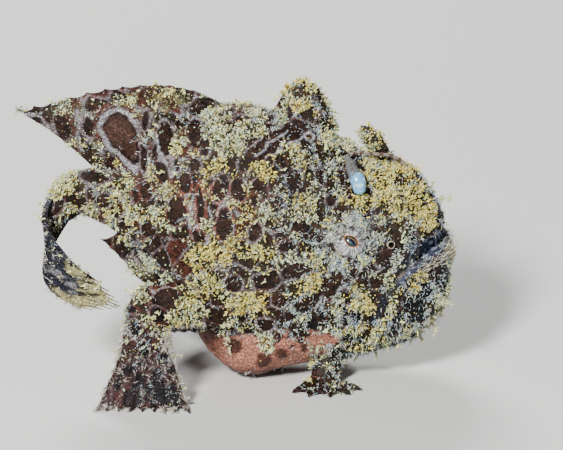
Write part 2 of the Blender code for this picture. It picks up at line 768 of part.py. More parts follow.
def main():
    for obj in list(bpy.data.objects):
        bpy.data.objects.remove(obj)
    body = make_body("whole_body")
    surface = Surface(body)

    finish(make_head(body, surface), "skin")
    finish(make_jaw(body, surface), "skin")
    finish(make_torso(body, surface), "skin")
    finish(slice_of_body("tail_base", body, -70, TAIL_CUT_X - JOINT_GAP), "skin")
    for word, side in (("right", -1), ("left", 1)):
        finish(make_eye(f"{word}_eye", surface, side), "eye")

    finish(make_third_spine(body), "skin")
    finish(make_second_spine(body), "skin")
    for piece in make_lure(body, surface):
        finish(piece, "lure")

    dorsal = fin("dorsal_fin", dorsal_rays(), ridge_root=0.5)
    finish(cut(dorsal, copy_of(body, "body_cutter", JOINT_GAP)), "fin")
    anal = fin("anal_fin", anal_rays())
    finish(cut(anal, copy_of(body, "body_cutter", JOINT_GAP)), "fin")
    caudal = fin("caudal_fin_base", caudal_rays(CAUDAL_ROOT, CAUDAL_SPLIT, 8), notch=0.0)
    finish(cut(caudal, copy_of(body, "body_cutter", JOINT_GAP)), "fin")
    finish(fin("caudal_fin_tips", caudal_rays(CAUDAL_SPLIT + JOINT_GAP, CAUDAL_LENGTH, 8)), "fin")

    for word, (side, forward, out) in ARMS.items():
        arm = make_arm(f"{word}_pectoral_arm", side, forward, out, body)
        finish(arm, "skin")
        hand = fin(f"{word}_pectoral_fin", hand_rays(side, forward, out), 0.75, 0.5, notch=0.2)
        finish(cut(hand, copy_of(arm, "arm_cutter", JOINT_GAP)), "fin")
        finish(make_pelvic(f"{word}_pelvic_fin", side, body), "fin")

    bpy.data.objects.remove(body)
    centre_on_origin()


main()
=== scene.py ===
"""How the frogfish looks: one skin, finer fins, eyes, lure and a coat of warts, bristles and flaps.

Lengths are in millimetres, in the place where the fish is modelled: head to +X, right side to -Y and the
floor at z = 0. build_mesh slides and scales them into the frame. Marks are placed by pixels of the
photograph, PER_MM to a millimetre, on the picture that the fish's right side makes from the camera.
"""

import itertools
import math
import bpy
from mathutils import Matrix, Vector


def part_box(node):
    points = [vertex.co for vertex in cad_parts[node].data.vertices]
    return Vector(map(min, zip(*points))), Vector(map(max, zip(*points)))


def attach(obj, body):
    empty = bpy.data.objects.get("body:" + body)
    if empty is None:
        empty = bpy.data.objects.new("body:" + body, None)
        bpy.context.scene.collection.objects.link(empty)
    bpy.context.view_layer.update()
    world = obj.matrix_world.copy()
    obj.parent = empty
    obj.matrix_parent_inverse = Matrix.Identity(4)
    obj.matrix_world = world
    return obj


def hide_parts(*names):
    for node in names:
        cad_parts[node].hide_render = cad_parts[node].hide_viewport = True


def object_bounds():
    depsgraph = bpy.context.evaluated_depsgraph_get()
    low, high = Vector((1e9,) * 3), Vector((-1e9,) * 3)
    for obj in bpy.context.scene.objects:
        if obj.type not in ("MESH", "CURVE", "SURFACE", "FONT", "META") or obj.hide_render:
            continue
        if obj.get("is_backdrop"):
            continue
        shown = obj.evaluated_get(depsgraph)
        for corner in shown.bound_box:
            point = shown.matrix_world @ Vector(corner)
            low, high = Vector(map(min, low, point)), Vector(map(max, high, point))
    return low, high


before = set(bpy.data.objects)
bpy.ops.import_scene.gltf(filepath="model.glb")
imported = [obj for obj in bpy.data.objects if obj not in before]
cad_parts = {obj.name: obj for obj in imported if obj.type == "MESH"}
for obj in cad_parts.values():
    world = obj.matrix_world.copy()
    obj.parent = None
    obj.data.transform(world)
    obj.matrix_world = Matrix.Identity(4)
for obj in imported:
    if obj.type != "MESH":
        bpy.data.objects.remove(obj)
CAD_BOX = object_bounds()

from types import SimpleNamespace

import bmesh
import bpy
import numpy as np
from mathutils import Vector
from mathutils.bvhtree import BVHTree

MM = 0.001
COAT_DEPTH = 0.6
VOXEL, PELVIC_VOXEL = 0.32, 0.2
ROUGH_VOXEL, ROUGH_LOBE_VOXEL = 1.1, 0.8
SKIN_CLEAR, COAT_CLEAR = 0.02, 0.03

# The body's outline, from the tip of the lower jaw to the end of the tail's flesh: x, top, bottom, half width
BODY = (
    (42.7, 27.0, 21.5, 3.6),
    (42.0, 31.0, 17.0, 6.6),
    (40.4, 36.3, 12.4, 9.4),
    (37.2, 41.0, 8.4, 11.8),
    (32.6, 44.3, 6.0, 13.6),
    (26.0, 46.2, 4.2, 14.8),
    (18.0, 50.0, 2.8, 15.8),
    (10.0, 54.0, 1.2, 16.4),
    (2.5, 56.0, -0.7, 16.2),
    (-4.5, 55.8, 4.0, 15.0),
    (-11.0, 54.0, 14.5, 12.6),
    (-17.5, 51.0, 23.5, 9.6),
    (-23.5, 46.8, 29.4, 6.8),
    (-29.5, 43.0, 32.4, 4.8),
    (-35.5, 41.8, 33.4, 3.4),
    (-39.2, 40.2, 34.8, 1.9),
)
WAIST = 0.44

# The tail leaves the straight body here and follows this line down and round the fish's right side
TAIL_START = -26.0
TAIL_STEPS = 40
TAIL_PATH = (
    (-26.0, 0.0, 37.5),
    (-32.0, -0.8, 37.2),
    (-36.3, -5.5, 33.6),
    (-36.8, -11.5, 28.8),
    (-32.5, -16.5, 24.3),
    (-21.5, -20.2, 20.3),
)

# The mouth line in side view from its rear corner to the front, and half its opening along the way
MOUTH_LINE = ((27.8, 15.0), (29.2, 19.3), (32.2, 24.0), (35.4, 27.6), (38.9, 29.6), (43.4, 30.6))
MOUTH_GAP = (0.1, 0.15, 0.5, 1.35, 1.7, 1.35)
MOUTH_DEPTH = 3.4
MOUTH_PIVOT_X = 33.0
LIP_RADIUS = 0.66
FRINGE_DROP, FRINGE_FRONT_X, FRINGE_COUNT = 1.7, 36, 26

EYE_X, EYE_Z, EYE_RADIUS = 23.0, 31.8, 3.05
EYE_SINK = 0.9
EYE_OPEN = 2.15
EYE_MOUND_REACH = 7.0
# How far over and under the eye's opening its marks and its clearing of the coat reach
EYE_MARK_DEPTH = 4
EYE_LOOK = (-0.5, 0.42)
EYE_SIDES = 132
LENS_RISE = 0.16
PUPIL = (1.42, 1.0)
PUPIL_TILT = math.radians(-36)
# Pale rims of the lid, brightest on the lower rear side as a painted highlight: how far out from the opening,
# how wide and how strong
LID_RIMS = ((0.2, 0.16, 1.0), (0.75, 0.14, 0.7))

# Nostrils: x, z, radius and height, and the outline of their wall as shares of those
FRONT_NOSTRIL = (30.8, 31.1, 0.78, 1.1)
REAR_NOSTRIL = (28.2, 34.0, 0.5, 0.5)
NOSTRIL_WALL = (
    (1.25, -1.0), (1.1, 0.1), (0.98, 0.55), (1.0, 0.85), (0.93, 1.0), (0.8, 0.97), (0.74, 0.7), (0.7, 0.1),
    (0.6, -0.6),
)
NOSTRIL_RINGS, NOSTRIL_SIDES = 26, 28
GILL_OPENING = (-9.8, 15.6, 1.0)

# The lure: x, y and height over the body along the rod, and x and y along the bait, each with its radii
ROD_SPOTS = (
    (33.6, -1.6, -1.6),
    (33.2, -1.8, 1.0),
    (30.6, -3.2, 2.1),
    (27.2, -4.3, 2.3),
    (24.2, -5.0, 2.0),
    (22.2, -6.0, 1.2),
)
ROD_RADII = (0.45, 0.4, 0.34, 0.32, 0.3, 0.28)
ROD_RINGS, ROD_SIDES = 120, 16
BAIT_PATH = ((22.2, -6.3), (22.8, -7.8), (23.5, -9.0), (24.3, -10.0), (24.8, -10.9))
BAIT_RADII = (0.5, 0.95, 1.25, 1.55, 1.1)
BAIT_LIFT, BAIT_RINGS, BAIT_SIDES = 0.7, 60, 48

# Arms: x, y, z, the share of an arm's own step out, and half sizes across and deep
UPPER_ARM = (
    (8.5, 7.8, 17.4, 0, 4.2, 3.0),
    (1.5, 11.2, 18.8, 0, 6.0, 4.6),
    (-5.5, 15.3, 20.2, 0.4, 5.8, 4.4),
    (-13.0, 19.0, 21.0, 0.8, 4.8, 3.7),
    (-18.6, 20.6, 20.4, 1, 2.4, 1.9),
)
FOREARM = (
    (-15.6, 19.9, 24.4, 1, 1.8, 1.5),
    (-16.6, 20.1, 21.0, 1, 4.4, 3.5),
    (-17.4, 20.3, 16.0, 1, 4.9, 2.8),
    (-17.6, 20.4, 12.0, 1, 5.3, 1.4),
)
# Each arm's side, step forward and step out
ARMS = {"right": (-1, 0.0, 0.0), "left": (1, 5.0, 0.8)}
HAND_MIDDLE = -17.8
HAND_HEIGHTS, HAND_HALVES = (0.4, 6.0, 12.0, 16.0), (9.3, 6.6, 4.6, 4.0)

# Spines behind the lure: x, y, z and half sizes along and across
THIRD_SPINE = (
    (13.2, 0, 47.0, 6.9, 4.0),
    (13.2, 0, 52.5, 6.7, 3.7),
    (13.4, 0, 57.0, 5.0, 2.7),
    (13.2, 0, 59.8, 3.2, 1.7),
    (13.0, 0, 61.0, 1.3, 0.8),
)
SECOND_SPINE = (
    (30.2, 0.2, 41.5, 2.9, 1.7),
    (28.6, 0.5, 46.5, 2.4, 1.5),
    (26.8, 1.0, 49.6, 1.7, 1.1),
    (25.0, 1.5, 51.4, 0.8, 0.6),
)

FLOOR_LIE = 0.35
DORSAL_EDGE = ((-8.2, 59.0), (-15.0, 60.3), (-24.0, 59.6), (-34.0, 57.3), (-43.2, 55.2))
ANAL_EDGE = ((-16.0, 16.2), (-20.0, 20.4), (-23.2, 24.3), (-27.0, 28.2))
CAUDAL_ROOT, CAUDAL_LENGTH = 8.5, 40.6
DORSAL_RAYS, ANAL_RAYS, CAUDAL_RAYS, HAND_RAYS, PELVIC_RAYS = 12, 7, 9, 9, 5
# The fleshy lobe of a pelvic fin: x, y, z and half sizes across and deep
PELVIC_LOBE = ((19.5, 4.5, 8.5, 3.2, 2.6), (18.4, 7.6, 4.6, 2.9, 2.1), (17.4, 10.4, 2.1, 2.3, 1.0))
PELVIC_WHOLE = PELVIC_LOBE[:2] + ((17.4, 10.4, 2.1, 3.3, 1.0), (17.4, 16, 1.2, 5, 0.6))

# Broad swellings and hollows of both sides: x, z, reach along x and z, and height
BULGES = (
    (20.0, 22.0, 8.0, 7.0, 0.5),
    (30.5, 15.0, 4.5, 5.0, 0.5),
    (7.0, 30.0, 2.0, 10.0, -0.45),
    (6.0, 44.0, 2.2, 6.0, -0.35),
    (-6.0, 40.0, 7.0, 8.0, 0.35),
    (34.0, 33.0, 4.0, 4.0, 0.4),
    (28.0, 38.0, 4.0, 3.0, -0.4),
    (0.0, 28.5, 9.0, 1.6, -0.5),
    (14.0, 38.0, 7.0, 5.0, 0.35),
)

# The photograph's picture of the right side: pixels to a millimetre, where x = 0 and the floor's near edge
# fall, and the camera's height over the horizon
PER_MM = 5.0
PICTURE_ZERO = (235.0, 400.0)
PICTURE_NEAR = 18.0
CAMERA_TILT = math.radians(18)
PICTURE_SIZE = (563, 450)
PICTURE_MIDDLE = (281.5, 225.0)
CAMERA_AWAY = 0.9
# Pixels added to the distance from a mark where the camera can't see the skin
UNSEEN_AWAY = 25
# The net of further patches that fills the skin between those named
NET_WIDTH, NET_SEED = 4.6, 21

# Marks in the photograph, in its pixels: x, y, half width, half height and turn in degrees
OCELLUS = ((118, 128, 14, 13, 0), (123, 136, 15, 16, -20), (129, 145, 11, 16, -26), (134, 154, 6, 11, -18))
DARK_PATCHES = (
    (90, 128, 5.5, 10, -5), (65, 128, 7, 13, -15), (39, 122, 8, 3, 30), (146, 121, 4.5, 9, 0),
    (167, 139, 8, 17, -5), (197, 136, 8, 14, -8), (207, 149, 4, 8, 0), (158, 153, 3.5, 8, 0),
    (109, 162, 5, 11, -25), (146, 159, 3.5, 13, -5), (163, 173, 5, 11, -20), (178, 165, 3, 6, 0),
    (186, 182, 6, 12, -5), (148, 191, 6, 9, -30), (179, 212, 10, 14, 0), (202, 205, 4, 17, 0),
    (197, 166, 6, 5, 0), (222, 189, 8, 13, 10), (240, 191, 7, 10, 0), (225, 224, 8, 14, 0),
    (137, 195, 3, 7, 0), (96, 178, 14, 6, 12), (92, 194, 5, 7, 0), (104, 201, 8, 6, 0),
    (77, 219, 10, 7, 0), (277, 205, 7, 8, 30), (295, 181, 7, 11, 20), (320, 178, 3.5, 7, 0),
    (244, 120, 8, 4, 0), (271, 120, 5, 3.5, 0), (232, 127, 5, 2.5, 0), (290, 113, 3, 5, 0),
    (256, 200, 4, 6, 0), (246, 166, 6, 8, 30), (258, 154, 12, 9, -40), (275, 142, 14, 10, -40),
    (292, 133, 14, 10, -25), (306, 136, 10, 12, 0), (311, 235, 11, 6, 20), (287, 246, 8, 6, 0),
    (298, 270, 16, 7, -22), (266, 276, 12, 6, -18), (331, 283, 16, 8.5, -62), (350, 268, 6, 11, 0),
    (344, 275, 7, 12, 0), (375, 262, 9, 8, 20), (322, 291, 13, 6.5, -42), (306, 303, 13, 6.5, -30),
    (384, 250, 8, 9, 30), (339, 178, 4, 8, 0), (368, 193, 6, 4, 20), (234, 283, 10, 8, 0),
    (268, 281, 12, 7, -10), (243, 316, 6, 5, 0), (266, 323, 8, 6, 0), (200, 235, 8, 6, 20),
    (150, 228, 7, 10, 0), (125, 226, 6, 8, 0), (256, 232, 6, 9, 20), (330, 200, 5, 6, 0),
    (300, 226, 8, 6, 0),
)
BLACK_PATCHES = (
    (413, 301, 13, 11, -30), (424, 291, 9, 8, 0), (416, 317, 10, 6, -20), (423, 310, 5, 3, 0),
    (398, 316, 8, 6, -20), (391, 330, 7, 4, -15), (334, 343, 7, 4.5, 15), (356, 316, 4.5, 6, 0),
    (344, 319, 4, 4, 0), (347, 336, 6, 4, 0), (312, 324, 6, 7, 20), (323, 313, 3.5, 5, 0),
    (284, 334, 6, 4, 0), (411, 243, 6, 8, 0), (163, 314, 9, 7, 20), (139, 326, 6, 6, 0),
    (146, 348, 4.5, 8, -10), (165, 354, 4, 6.5, -15), (135, 309, 6, 3.5, 20), (141, 362, 3, 2.5, 0),
    (130, 368, 5.5, 4.5, 0), (141, 378, 5, 7, 0), (158, 371, 4.5, 5, 0), (174, 368, 4.5, 5.5, 0),
    (163, 392, 8, 6, 0), (178, 392, 5, 6, 0), (150, 386, 4.5, 6, 0), (120, 382, 4.5, 6, 20),
    (70, 253, 12, 7, 20), (75, 269, 14, 7, 22), (100, 283, 8, 4, 25), (190, 352, 9, 8, 0),
    (118, 290, 6, 3, 30),
)
ROSE_PLACE = (211, 209, 36, 30, 0)
BELLY_SPOTS = ((235, 345, 8, 8, 0), (262, 360, 8.5, 8, 0), (283, 353, 6, 6, 0), (304, 348, 4, 4, 0))
PALE_LINES = (
    ((257, 158), (272, 142), (287, 132)),
    ((275, 154), (290, 143), (304, 138)),
    ((309, 133), (313, 137), (310, 142), (305, 140), (305, 135), (309, 133)),
    ((159, 137), (164, 158), (168, 166)),
    ((193, 195), (192, 214), (190, 229)),
    ((180, 222), (188, 218), (200, 226)),
    ((222, 208), (230, 203), (238, 216)),
    ((211, 208), (213, 230), (206, 245)),
    ((80, 112), (80, 140), (84, 152)),
    ((339, 247), (332, 260), (327, 275)),
    ((331, 301), (338, 290), (344, 283), (348, 288)),
    ((361, 255), (371, 260), (381, 269)),
    ((314, 308), (322, 295)),
    ((342, 259), (343, 268), (344, 276)),
)

# Where pale warts lie in clouds: as the marks above, and then the share of yellow among them
CLOUDS = (
    (170, 98, 19, 9, 0, 0.6), (131, 101, 17, 4, 0, 0.4), (151, 109, 5, 5, 0, 0.5), (100, 104, 16, 4, -8, 0.3),
    (60, 111, 15, 5, -10, 0.3), (143, 141, 5, 12, -10, 0.5), (179, 147, 6, 14, 0, 0.5),
    (215, 130, 18, 22, -12, 0.35), (218, 170, 18, 9, -8, 0.9), (208, 186, 5, 10, 0, 0.8),
    (171, 191, 12, 11, 0, 0.5), (124, 192, 12, 19, 0, 0.55), (150, 171, 5, 8, 0, 0.4),
    (92, 206, 13, 8, 0, 0.6), (78, 151, 6, 13, -20, 0.5), (162, 216, 6, 15, 0, 0.5),
    (57, 186, 16, 15, -40, 0.5), (46, 208, 8, 12, 0, 0.4), (74, 172, 10, 9, -30, 0.5),
    (249, 131, 17, 11, -38, 0.4), (266, 173, 10, 11, 0, 0.95), (251, 187, 5, 11, 0, 0.4),
    (296, 160, 9, 9, 0, 0.6), (303, 104, 11, 9, 0, 0.8), (324, 127, 6, 10, 0, 0.4), (249, 213, 5, 7, 0, 0.9),
    (303, 203, 9, 11, 0, 0.5), (272, 217, 9, 7, 0, 0.3), (207, 258, 18, 13, -25, 0.9),
    (254, 252, 27, 10, -12, 0.7), (202, 295, 24, 12, -25, 0.6), (190, 314, 20, 13, -35, 0.55),
    (250, 300, 26, 9, -18, 0.8), (229, 327, 4, 10, 0, 0.3), (271, 340, 8, 9, 0, 0.4),
    (141, 268, 16, 6, 12, 0.4), (141, 291, 8, 9, 0, 0.4), (127, 352, 11, 9, 0, 0.5),
    (169, 341, 12, 15, 0, 0.5), (312, 256, 9, 6, -20, 0.6), (311, 287, 12, 6, -35, 0.8),
    (362, 296, 14, 11, 0, 0.8), (354, 330, 13, 9, 0, 0.7), (400, 196, 30, 33, 0, 0.9),
    (354, 206, 18, 8, 0, 0.85), (376, 172, 14, 16, 0, 0.75), (422, 214, 12, 18, 0, 0.95),
    (362, 144, 20, 11, 0, 0.5), (376, 138, 17, 14, 0, 0.75), (296, 93, 18, 9, 0, 0.7),
    (331, 139, 7, 15, 0, 0.35), (422, 272, 12, 7, -38, 0.6), (391, 297, 6, 11, 20, 0.5),
    (372, 330, 12, 8, 0, 0.7), (432, 322, 10, 13, 0, 0.4), (322, 351, 17, 7, 0, 0.4),
    (376, 349, 14, 7, 0, 0.5), (340, 222, 14, 7, 0, 0.6), (307, 219, 10, 7, 0, 0.4),
    (187, 136, 3, 12, 0, 0.4), (110, 228, 6, 12, 0, 0.4), (404, 229, 12, 10, 0, 0.15),
    (413, 251, 8, 11, 20, 0.1), (383, 232, 7, 13, 0, 0.15), (398, 262, 7, 9, 30, 0.1),
    (229, 154, 14, 11, -20, 0.5), (224, 243, 15, 8, -15, 0.8), (287, 262, 8, 7, 0, 0.5),
)

# How far the left side's marks are set off from a mirror image of the right side's, and how much they wander
LEFT_SHIFT = (11.0, -7.0)
LEFT_WANDER = 7.0

# Larger flaps that the photograph shows at the outline and on the limbs: x, y in pixels and length
NAMED_FLAPS = (
    (240, 110, 3.0), (276, 96, 2.8), (303, 84, 2.0), (330, 112, 2.2), (437, 200, 3.2), (444, 262, 2.6),
    (437, 300, 3.6), (432, 322, 2.8), (422, 338, 2.4), (376, 352, 2.2), (322, 352, 2.6), (345, 350, 2.0),
    (148, 285, 3.4), (140, 292, 2.8), (155, 282, 2.4), (42, 222, 2.6), (36, 205, 2.0), (229, 335, 2.4),
    (272, 345, 2.2), (186, 350, 2.4), (120, 350, 2.6), (150, 88, 1.8), (185, 92, 2.0), (420, 168, 1.8),
    (205, 98, 1.8), (110, 270, 2.0), (128, 268, 1.8), (430, 230, 2.0), (400, 342, 2.0), (172, 340, 2.2),
)

# How many pieces of each kind the coat has, and how it is cut up and mapped
CLUMP_TRIES, CLUMP_GAP = 16000, 0.98
STUB_COUNT, BEAD_COUNT, GRAIN_COUNT = 20500, 8500, 45500
LOOSE_COUNT, BRISTLE_COUNT, FROST_COUNT, GRANULE_COUNT = 9000, 12500, 17000, 30000
SPRIG_COUNT, FLAP_COUNT = 1100, 380
COAT_SEED, SPRIG_SEED, FLAP_SEED = 5, 6, 8
MOST_TRIANGLES = 190000
PATCH_SIZE = 0.003

# The studio, in metres: each light's place, width and power, where they point, and half the floor's width
LIGHTS = {
    "key": ((-0.34, -0.92, 0.68), 0.2, 38.0),
    "fill": ((0.9, -0.7, 0.4), 0.5, 2.2),
    "back": ((-0.2, 0.8, 0.75), 0.45, 16.0),
}
LIGHTS_AIM = (0.0, 0.0, 0.03)
SKY, SKY_STRENGTH = (0.9, 0.95, 1.0, 1), 0.12
FLOOR_COLOUR, FLOOR_HALF = (0.56, 0.555, 0.54), 6.0


def linear(*values):
    """A colour given as 0 to 255 the way a screen shows it, as the renderer's linear values."""
    shown = np.array(values, float) / 255
    return np.where(shown <= 0.04045, shown / 12.92, ((shown + 0.055) / 1.055) ** 2.4)


GROUND_RED = linear(74, 37, 27)
GROUND_MAUVE = linear(58, 37, 32)
GROUND_HEAD = linear(38, 20, 15)
PATCH_BROWN = linear(33, 17, 10)
PATCH_EDGE = linear(8, 5, 3)
PATCH_BLACK = linear(9, 9, 13)
OCELLUS_BROWN = linear(56, 37, 30)
ROSE = linear(118, 60, 48)
PALE_LILAC = linear(128, 126, 130)
# Skin under the clouds of warts: its olive colour, darkened as painted shade for the gaps between the warts
CLOUD_GROUND_AND_GAP_SHADE = linear(54, 53, 34)
CLOUD_HEART = linear(128, 121, 66)
BELLY_PINK = linear(170, 114, 96)
BELLY_BROWN = linear(54, 29, 21)
HAND_MAUVE = linear(58, 37, 38)
TAIL_BLUE = linear(24, 26, 38)
GILL_PIT_SHADE = linear(30, 20, 20)
NOSTRIL_RIM = linear(190, 184, 160)
NOSTRIL_INSIDE_SHADE = linear(26, 10, 8)
MOUTH_DARK = linear(14, 18, 30)
MOUTH_FOLD = linear(92, 86, 76)
LIP_SLATE = linear(36, 38, 46)
LIP_BLUE = linear(64, 72, 98)
LIP_DOTS = linear(168, 182, 204)
RAY_CREAM = linear(140, 132, 92)
RAY_DARK = linear(34, 20, 16)
RAY_PALE = linear(146, 143, 133)
LID_WHITE = linear(204, 202, 204)
WART_CREAM = linear(234, 246, 186)
WART_YELLOW = linear(255, 230, 86)
WART_WHITE = linear(232, 246, 228)
WART_RUST = linear(206, 132, 46)
BRISTLE_WHITE = linear(240, 246, 246)
BRISTLE_BLUE = linear(164, 198, 216)
SPRIG_CREAM = linear(236, 218, 186)
IRIS_PALE = linear(116, 113, 117)
IRIS_BROWN = linear(44, 36, 34)
IRIS_RED = linear(140, 92, 76)
IRIS_ORANGE = linear(150, 84, 10)
PUPIL_BLUE = linear(6, 14, 28)
# Painted reflections in the pupil
PUPIL_TEAL_REFLECTION = linear(24, 58, 62)
PUPIL_GOLD_REFLECTION = linear(150, 112, 40)
PUPIL_GREEN_REFLECTION = linear(44, 110, 104)
PUPIL_GREY_REFLECTION = linear(92, 100, 104)
ROD_PALE = linear(116, 106, 96)
ROD_BROWN = linear(70, 50, 42)
BAIT_PALE = linear(92, 148, 184)
BAIT_GREY = linear(90, 90, 88)
BAIT_SPECK = linear(60, 50, 50)


def curve_through(rows, count):
    """Points on a smooth curve through the rows, which may hold any number of values each."""
    rows = np.array(rows, float)
    padded = np.vstack([2 * rows[0] - rows[1], rows, 2 * rows[-1] - rows[-2]])
    steps = np.linspace(0, len(rows) - 1, count)
    start = np.minimum(steps.astype(int), len(rows) - 2)
    u = (steps - start)[:, None]
    a, b, c, d = (padded[start + k] for k in range(4))
    return 0.5 * (2 * b + (c - a) * u + (2 * a - 5 * b + 4 * c - d) * u**2 + (3 * b - a - 3 * c + d) * u**3)


def unit(v):
    return v / np.maximum(np.linalg.norm(v, axis=-1, keepdims=True), 1e-9)


def ramp(values, low, high):
    """Rises smoothly from 0 at low to 1 at high, or falls where low is above high."""
    t = np.clip((values - low) / (high - low), 0, 1)
    return t * t * (3 - 2 * t)


def ridge_at(values, middle, width):
    """1 at the middle value, falling off on both sides like a bell."""
    return np.exp(-(((values - middle) / width) ** 2))


def mix(a, b, share):
    return a + (b - a) * np.asarray(share)[:, None]


def layered(colour, *layers):
    """The colour under other colours, each laid on by its share."""
    for tint, share in layers:
        colour = mix(colour, tint, share)
    return colour


def circle_turns(sides):
    return np.linspace(0, 2 * math.pi, sides, endpoint=False)


class Noise:
    """Smooth random values between about -1 and 1 all through space.

    Where a number is added to the points, it is only to get other values from the same noise.
    """

    SIZE = 32

    def __init__(self, seed):
        self.table = np.random.default_rng(seed).uniform(-1, 1, (self.SIZE,) * 3)

    def once(self, places):
        low = np.floor(places).astype(int)
        f = places - low
        f = f * f * (3 - 2 * f)
        found = np.zeros(len(places))
        for corner in itertools.product((0, 1), repeat=3):
            share = np.prod(np.where(corner, f, 1 - f), axis=1)
            found += share * self.table[tuple(((low + corner) % self.SIZE).T)]
        return found

    def __call__(self, points, scale, octaves=3):
        found, whole, weight = 0.0, 0.0, 1.0
        for _ in range(octaves):
            found = found + weight * self.once(points / scale)
            whole, weight, scale = whole + weight * 0.6, weight / 2, scale / 2.07
        return found / whole


BROAD, MIDDLE, FINE = Noise(11), Noise(12), Noise(13)


def cells(points, scale, seed):
    """Distances to the nearest and second nearest of scattered centres, and the nearest's random number."""
    size = 16
    table = np.random.default_rng(seed).uniform(0, 1, (size, size, size, 4))
    places = points / scale
    low = np.floor(places).astype(int)
    best, second = np.full(len(points), 9.0), np.full(len(points), 9.0)
    number = np.zeros(len(points))
    for offset in itertools.product((-1, 0, 1), repeat=3):
        entry = table[tuple(((low + offset) % size).T)]
        away = np.linalg.norm(low + offset + entry[:, :3] - places, axis=1)
        nearer = away < best
        second = np.where(nearer, best, np.minimum(second, away))
        number = np.where(nearer, entry[:, 3], number)
        best = np.where(nearer, away, best)
    return best * scale, second * scale, number


# Meshes as arrays of points and faces


def loft(rings, first_tip, last_tip):
    """A closed surface of triangles through rings of equal count, ended by a tip at each end."""
    count, sides = len(rings), len(rings[0])
    points = np.vstack([np.concatenate(rings), [first_tip, last_tip]])
    i, j = np.meshgrid(np.arange(count - 1), np.arange(sides), indexing="ij")
    a, b = (i * sides + j).ravel(), (i * sides + (j + 1) % sides).ravel()
    walls = np.vstack([np.column_stack([a, b, b + sides]), np.column_stack([a, b + sides, a + sides])])
    j = np.arange(sides)
    k = (j + 1) % sides
    base = (count - 1) * sides
    first = np.column_stack([np.full(sides, count * sides), k, j])
    last = np.column_stack([np.full(sides, count * sides + 1), base + j, base + k])
    return points, np.vstack([walls, first, last])


def tube(path, across, deep, side_hint, count=24, sides=24):
    """A limb along the path. Its half sizes are across in the plane of side_hint and deep square to that."""
    line = curve_through(np.column_stack([path, across, deep]), count)
    centres, wide, thin = line[:, :3], line[:, 3], line[:, 4]
    along = unit(np.gradient(centres, axis=0))
    hint = np.array(side_hint, float)
    wide_axis = unit(hint - (along @ hint)[:, None] * along)
    thin_axis = np.cross(along, wide_axis)
    turns = circle_turns(sides)
    rings = []
    for i in range(count):
        ring = centres[i] + np.outer(np.cos(turns) * wide[i], wide_axis[i])
        rings.append(ring + np.outer(np.sin(turns) * thin[i], thin_axis[i]))
    first = centres[0] - along[0] * min(wide[0], thin[0]) * 0.5
    last = centres[-1] + along[-1] * min(wide[-1], thin[-1]) * 0.5
    return loft(rings, first, last)


def joined(pieces):
    """Several pairs of points and faces as one pair."""
    points, faces, start = [], [], 0
    for some_points, some_faces in pieces:
        points.append(some_points)
        faces.append(some_faces + start)
        start += len(some_points)
    return np.vstack(points), np.vstack(faces)


def triangles(faces):
    """The faces, with each quad split in two."""
    return faces if faces.shape[1] == 3 else np.vstack([faces[:, :3], faces[:, [0, 2, 3]]])


def tree_of(points, faces):
    return BVHTree.FromPolygons(points.tolist(), faces.tolist())


def vertex_normals(points, faces):
    """Unit normals at the points of a mesh whose faces all have three or all have four corners."""
    corner = [points[faces[:, k]] for k in range(faces.shape[1])]
    if len(corner) == 4:
        normal = np.cross(corner[2] - corner[0], corner[3] - corner[1])
    else:
        normal = np.cross(corner[1] - corner[0], corner[2] - corner[0])
    total = np.zeros_like(points)
    for some in faces.T:
        for k in range(3):
            total[:, k] += np.bincount(some, weights=normal[:, k], minlength=len(points))
    return unit(total)


def above_floor(points, clear=SKIN_CLEAR):
    """The points, with the lowest raised until they clear the floor."""
    points[..., 2] = np.maximum(points[..., 2], clear)
    return points


def raw_mesh(name, points, faces):
    mesh = bpy.data.meshes.new(name)
    mesh.vertices.add(len(points))
    mesh.vertices.foreach_set("co", np.ascontiguousarray(points, np.float32).ravel())
    mesh.loops.add(faces.size)
    mesh.loops.foreach_set("vertex_index", np.ascontiguousarray(faces, np.int32).ravel())
    mesh.polygons.add(len(faces))
    mesh.polygons.foreach_set("loop_start", np.arange(0, faces.size, faces.shape[1], dtype=np.int32))
    mesh.update(calc_edges=True)
    return mesh


def new_object(name, data):
    obj = bpy.data.objects.new(name, data)
    bpy.context.scene.collection.objects.link(obj)
    return obj


def edit_mesh(mesh, change):
    """Makes a change to the mesh's faces with a bmesh operator."""
    work = bmesh.new()
    work.from_mesh(mesh)
    change(work, faces=work.faces)
    work.to_mesh(mesh)
    work.free()


def work_object(name, points, faces):
    """An object in millimetres with its faces turned outwards, for a Boolean or a remesh."""
    obj = new_object(name, raw_mesh(name, points, faces))
    edit_mesh(obj.data, bmesh.ops.recalc_face_normals)
    return obj


def applied(obj):
    """The object's mesh with its modifiers, and the object removed."""
    graph = bpy.context.evaluated_depsgraph_get()
    mesh = bpy.data.meshes.new_from_object(obj.evaluated_get(graph))
    bpy.data.objects.remove(obj)
    return mesh


def arrays_of(mesh):
    """Points and faces of a mesh whose faces all have the same number of corners."""
    points = np.empty(len(mesh.vertices) * 3, np.float32)
    mesh.vertices.foreach_get("co", points)
    corners = np.empty(len(mesh.loops), np.int32)
    mesh.loops.foreach_get("vertex_index", corners)
    sides = len(mesh.loops) // len(mesh.polygons)
    return points.reshape(-1, 3).astype(float), corners.reshape(-1, sides)


def subtract(base, cutter):
    """The first closed surface less the second, as triangles."""
    obj, cut = work_object("base", *base), work_object("cutter", *cutter)
    modifier = obj.modifiers.new("cut", "BOOLEAN")
    modifier.operation = "DIFFERENCE"
    modifier.object = cut
    modifier.solver = "EXACT"
    mesh = applied(obj)
    bpy.data.objects.remove(cut)
    edit_mesh(mesh, bmesh.ops.triangulate)
    return arrays_of(mesh)


def remeshed(pieces, voxel):
    """One closed surface of even quads round the closed pieces."""
    obj = work_object("remesh", *joined(pieces))
    modifier = obj.modifiers.new("remesh", "REMESH")
    modifier.mode = "VOXEL"
    modifier.voxel_size = voxel
    modifier.adaptivity = 0
    return arrays_of(applied(obj))


